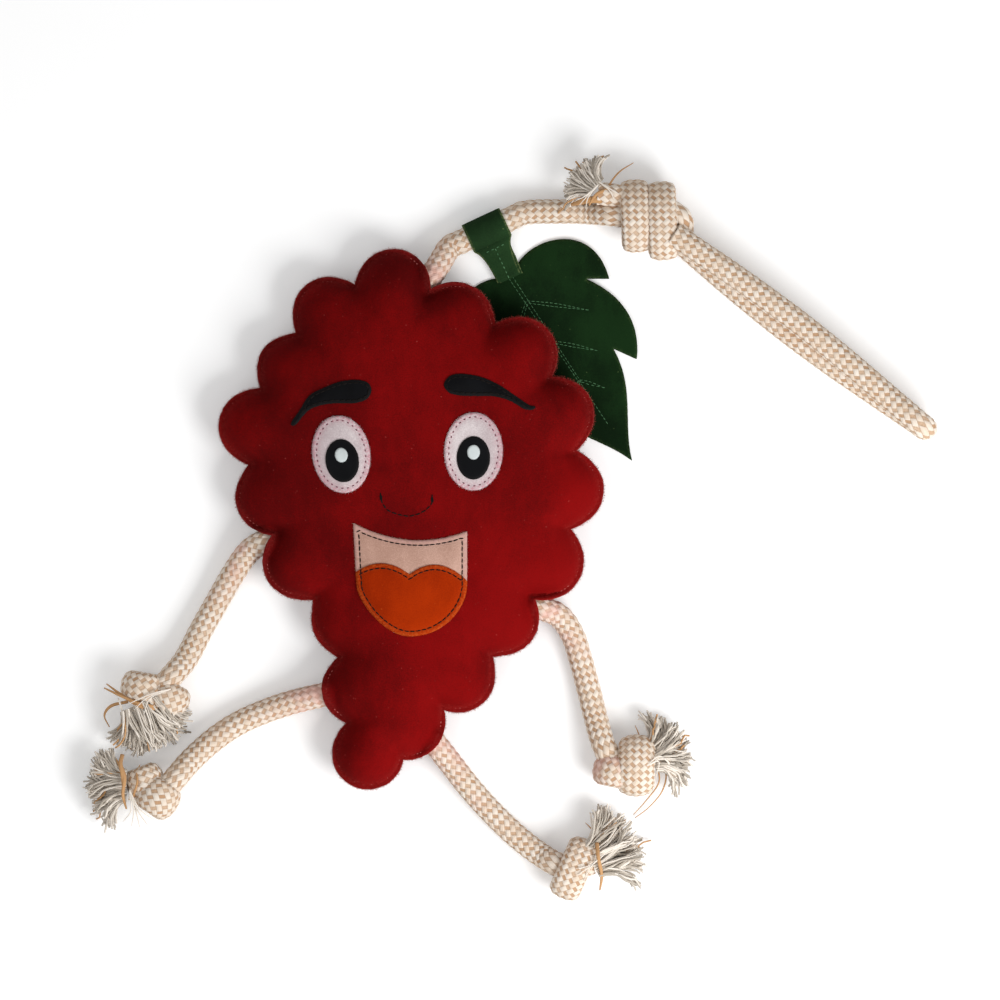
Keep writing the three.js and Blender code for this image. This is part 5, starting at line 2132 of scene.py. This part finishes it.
@dataclass
class LeafOnStrap:
    """A suede leaf that hangs from the hanger rope on a strap."""

    band: float = 26.0
    neck: float = 15.5
    neck_at: float = 12.0
    strap_end: float = 33.0
    join_angle: float = -24.0
    close_angle: float = 262.0
    tail_slip: float = 1.5
    across_count: int = 17
    bar_at: float = 12.6
    bar_half: float = 5.2
    stem: Spot = (13.6, 32.0)
    base: Spot = (67.5, 141.9)
    angle: float = -56.5
    stalk: float = 15.0
    stalk_half: float = 5.5
    edge: Sequence[tuple] = (  # control points and end of each part of half the edge
        (((-12, 22), (0, 64)), (38, 51)),
        ((), (30, 39)),
        (((58, 57), (78, 47)), (89.5, 37.5)),
        ((), (76, 29)),
        (((104, 27), (118, 8)), (141, 0)),
    )
    veins: Sequence[tuple] = ((22.4, (46.3, 28.6)), (52.7, (70.5, 19.3)), (81.7, (92.3, 10.2)))
    vein_gap: Spot = (0.9, 1.3)  # half the gap between a vein's rows, at its root and half-way
    vein_bow: float = 1.0
    vein_root: float = 1.2
    midrib: Place = (1.0, 81.0, 112.0)  # start, end of its double row and end of its single row
    midrib_gap: Spot = (1.3, 0.6)  # half the gap between its two rows, at their start and end
    vein_row: Row = Row(2.7, 2.5, 0.23)
    strap_row: Row = Row(2.9, 2.1, 0.36)
    blade_length: float = 138.0
    blade_half: float = 50.0
    blade_spacing: float = 1.8
    curl: float = 3.4
    curl_at_stalk: float = 0.4
    tip_lift: float = 2.2
    tip_span: Spot = (0.72, 0.28)  # start and length, as shares of the blade
    ripple: Place = (21.0, 4.0, 0.7)  # size, seed and height
    ripple_span: Spot = (6.0, 30.0)  # where it starts, short of the midrib, and over what width it grows
    edge_step: float = 1.1
    fuzz: float = 0.12
    fuzz_size: float = 1.6
    groove: float = 0.3
    groove_half: float = 0.9
    round_edge: float = 0.8
    wear: float = 0.25
    tail_gaps: Spot = (0.4, 0.15)  # under the lower tail and between the two

    def to_plan(self, local: Points) -> Points:
        """Turns places along and across the leaf into the toy's plan."""
        return np.array(self.base) + local[:, :1] * turn(self.angle) + local[:, 1:2] * turn(self.angle + 90)

    def on_strap(self, local: Points) -> Points:
        """Turns places along and across the strap into the toy's plan."""
        along, aside = turn(STRAP_ANGLE - 90), turn(STRAP_ANGLE)
        return np.array(STRAP_CENTRE) + local[:, :1] * along + local[:, 1:2] * aside

    def half_outline(self) -> Points:
        """Draws half of the blade, from its stalk to its tip.

        Returns:
            The outline.
        """
        start = (0.0, self.stalk_half)
        rows = [[(-self.stalk, self.stalk_half)]]
        for pulls, end in self.edge:
            rows.append(bezier(start, pulls, end, 40))
            start = end
        return np.vstack([*rows, [start]])

    def blade_height(self, local: Points) -> Values:
        """Gives how far the blade's underside lifts off the floor.

        Args:
            local: Places along and across the leaf.

        Returns:
            The heights.
        """
        across = local[:, 1]
        along = share(local[:, 0] / self.blade_length)
        curl = self.curl * share(across / self.blade_half) ** 2 * (self.curl_at_stalk + along)
        start, span = self.tip_span
        tip = self.tip_lift * share((along - start) / span) ** 2
        before, reach = self.ripple_span
        ripple = layered_noise(local, [self.ripple]) * share((across + before) / reach)
        return FLOOR_GAP + np.maximum(0.0, curl + tip + ripple)

    def vein_lines(self) -> list[Points]:
        """Draws the double rows of stitches along the midrib and the veins.

        Returns:
            The lines.
        """
        first, double, single = self.midrib
        wide, narrow = self.midrib_gap
        rows = [np.array([(first, side * wide), (double, side * narrow)]) for side in (-1, 1)]
        rows.append(np.array([(double, 0.0), (single, 0.0)]))
        lines = [resample(row, SEWING_STEP) for row in rows]
        at_root, half_way = self.vein_gap
        for start, (along, across) in self.veins:
            for side in (-1, 1):
                for off in (-1.0, 1.0):
                    root = (start + off * at_root, side * self.vein_root)
                    bowed = start * 0.5 + along * 0.5 + off * half_way - self.vein_bow
                    middle = (bowed, side * across * 0.5)
                    lines.append(smooth_line([root, middle, (along, side * across)], SEWING_STEP))
        return lines

    def build_blade(self, sewing: Sewing) -> None:
        """Makes the blade and its stitched veins.

        Args:
            sewing: What lays stitches.
        """
        half = self.half_outline()
        outline = respace(np.vstack([half, (half * [1, -1])[::-1][1:]])[::-1], self.edge_step)
        cut = np.column_stack([smooth_noise(outline, self.fuzz_size, seed) for seed in (1.0, 2.0)])
        outline = outline + self.fuzz * cut
        local, faces = fill_outline(outline, self.blade_spacing)
        low = self.blade_height(local)
        gap = edge_distance(local, outline)
        lines = self.vein_lines()
        groove = np.zeros(len(local))
        for line in lines:
            aside = edge_distance(local, np.vstack([line, line[::-1]]))
            groove = np.maximum(groove, self.groove * bell(aside, self.groove_half))
        top = low + SUEDE * (0.6 + 0.4 * round_over(gap, self.round_edge)) - groove
        points, solid = slab(local, faces, len(outline), top, low)
        points = np.column_stack([self.to_plan(points[:, :2]), points[:, 2]])
        worn = np.tile(self.wear * bell(gap, self.round_edge), 2)
        blade = make_piece("suede_leaf", points, solid, Finish.GREEN.material(), {"worn": worn})
        dress(blade, Body.LEAF, Slot.GREEN, "leaf_blade")
        seams = [Ground(blade).drape(self.to_plan(line), False, 0.0) for line in lines]
        thread = Finish.LEAF_THREAD
        veins = sewing.lay("leaf_vein_stitches", seams, self.vein_row, thread, Body.LEAF, Slot.GREEN)
        size = outline.max(axis=0) - outline.min(axis=0)

    def strap_side(self) -> Points:
        """Draws the strap from the side: its upper tail, round the rope, and its lower tail.

        Returns:
            Its middle line.
        """
        radius = STRAP_BORE + SUEDE / 2
        under, between = self.tail_gaps
        low = FLOOR_GAP + SUEDE + under + SUEDE / 2
        high = low + SUEDE + between
        angles = np.radians(np.linspace(self.join_angle, self.close_angle, 40))[1:]
        upper = [(self.strap_end, high), (24.0, high), (16.0, high + 0.4), (11.5, high + 2.2)]
        round_rope = [(radius * math.cos(a), ROPE_IN_STRAP + radius * math.sin(a)) for a in angles]
        lower = [(4.0, FLOOR_GAP + SUEDE * 0.6), (9.5, FLOOR_GAP + SUEDE * 0.9)]
        lower += [(14.0, low), (24.0, low), (self.strap_end + 0.8, low)]
        return smooth_line([*upper, *round_rope, *lower], 1.1)

    def strap_faces(self, rows: int) -> Faces:
        """Gives the faces of the strap's outer sheet, its inner sheet and its edges.

        Args:
            rows: Number of rows along the strap.

        Returns:
            The faces.
        """
        count = self.across_count
        size = rows * count
        solid: Faces = []
        for row in range(rows - 1):
            first = row * count
            for a in range(first, first + count - 1):
                quad = (a, a + count, a + count + 1, a + 1)
                solid += [quad, (a + size, a + 1 + size, a + count + 1 + size, a + count + size)]
            for a in (first, first + count - 1):
                quad = (a, a + size, a + count + size, a + count)
                solid.append(quad if a == first else quad[::-1])
        for first in (0, size - count):
            for a in range(first, first + count - 1):
                quad = (a, a + 1, a + 1 + size, a + size)
                solid.append(quad if first == 0 else quad[::-1])
        return solid

    def build_strap(self, sewing: Sewing) -> None:
        """Makes the strap round the rope, with its two tails, and its stitches.

        Args:
            sewing: What lays stitches.
        """
        line = self.strap_side()
        outside = STRAP_BORE + SUEDE
        ends = (outside, self.band / 2), (self.strap_end + SUEDE, self.neck / 2)
        hollow = bezier(ends[0], [(self.neck_at + SUEDE, self.neck / 2)], ends[1], 40)
        hollow = np.vstack([(-outside - 5, self.band / 2), hollow])
        half = np.interp(line[:, 0], hollow[:, 0], hollow[:, 1])
        slip = self.tail_slip * share((np.arange(len(line)) / len(line) - 0.8) / 0.08)
        ahead = unit(np.gradient(line, axis=0))
        normal = np.column_stack([ahead[:, 1], -ahead[:, 0]])
        across = np.linspace(-1.0, 1.0, self.across_count)
        sheets = []
        for level in (0.5, -0.5):
            ease = 1 - 0.25 * np.abs(across) ** 12  # thinner at its cut edges
            flat = line[:, None] + normal[:, None] * (SUEDE * level * ease)[None, :, None]
            width = half[:, None] * across[None] + slip[:, None]
            sheets.append(np.stack([flat[..., 0], width, flat[..., 1]], axis=2).reshape(-1, 3))
        local = np.vstack(sheets)
        points = np.column_stack([self.on_strap(local), np.maximum(local[:, 2], FLOOR_GAP)])
        worn = {"worn": np.tile((np.abs(across) > 0.95) * 0.8, 2 * len(line))}
        faces = self.strap_faces(len(line))
        strap = make_piece("leaf_strap_band", points, faces, Finish.STRAP.material(), worn)
        dress(strap, Body.LEAF, Slot.GREEN, "leaf_strap")
        bar = [(self.bar_at, -self.bar_half), (self.bar_at, self.bar_half)]
        stem = [(run, 0.0) for run in self.stem]
        plans = [resample(self.on_strap(np.array(spots)), SEWING_STEP) for spots in (bar, stem)]
        lines = [Ground(strap).drape(plan, False) for plan in plans]
        sewing.lay("strap_stitches", lines, self.strap_row, Finish.LEAF_THREAD, Body.LEAF, Slot.GREEN)


# Stage


@dataclass(frozen=True)
class Stage:
    """A pale floor, soft light and a camera straight above, in metres."""

    centre: Spot = (0.0625, 0.0)
    view_width: float = 0.625
    lens: float = 600.0
    sensor: float = 36.0
    plane: float = 0.02
    floor_half: float = 3.0
    floor_glow: float = 0.2
    sky: float = 0.45
    lamps: Sequence[tuple[str, Place, float, float]] = (  # name, place, width and power in watts
        ("key_light", (0.9, -0.75, 1.0), 0.8, 20.0),
        ("fill_light", (-0.9, -0.4, 1.5), 1.2, 5.0),
    )

    def build(self) -> None:
        """Makes the floor, the lights and the camera."""
        self.floor()
        for name, place, size, power in self.lamps:
            data = bpy.data.lights.new(name, "AREA")
            data.size = size
            data.energy = power
            lamp = add_object(name, data)
            lamp.location = place
            aim = Vector((*self.centre, 0.0)) - Vector(place)
            lamp.rotation_euler = aim.to_track_quat("-Z", "Y").to_euler()
        scene = bpy.context.scene
        scene.view_settings.view_transform = "Standard"
        scene.world = bpy.data.worlds.new("studio")
        scene.world.use_nodes = True
        background = scene.world.node_tree.nodes["Background"]
        background.inputs["Color"].default_value = (1.0, 1.0, 1.0, 1.0)
        background.inputs["Strength"].default_value = self.sky
        data = bpy.data.cameras.new("camera")
        data.lens = self.lens
        data.sensor_width = self.sensor
        data.sensor_fit = "HORIZONTAL"
        data.clip_end = 20.0
        scene.camera = add_object("camera", data)
        scene.camera.location = (*self.centre, self.plane + self.view_width * self.lens / self.sensor)

    def floor(self) -> None:
        """Lays the floor, which the camera sees nearly white."""
        canvas = Canvas("pale_floor")
        rays = canvas.node("ShaderNodeLightPath").outputs
        seen = Term(canvas, rays["Is Camera Ray"])
        for name in ("Is Glossy Ray", "Is Transmission Ray"):
            seen = seen.math("MAXIMUM", Term(canvas, rays[name]))
        glow = canvas.mix(seen, (0.0, 0.0, 0.0, 1.0), (*[self.floor_glow] * 3, 1.0))
        material = canvas.close({
            "Base Color": (0.9, 0.9, 0.9, 1.0), "Roughness": 0.9,
            "Emission Color": glow, "Emission Strength": 1.0,
        })
        square = np.array([(-1, -1, 0), (1, -1, 0), (1, 1, 0), (-1, 1, 0)])
        make_piece("floor", square * (self.floor_half / MM), [(0, 1, 2, 3)], material)


def main() -> None:
    """Builds the toy and its stage, in order."""
    logging.basicConfig(level=logging.INFO, format="%(message)s")
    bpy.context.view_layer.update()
    Stage().build()
    sewing, fraying, fringe = Sewing(), Fraying(), Fringe()
    for rope in (*LIMBS, HANGER):
        rope.build(fraying)
    bunch = StuffedBunch()
    body = bunch.build()
    bunch.trim(sewing, fringe)
    SewnFace().build(body, sewing, fringe)
    leaf = LeafOnStrap()
    leaf.build_strap(sewing)
    leaf.build_blade(sewing)


if __name__ == "__main__":
    main()
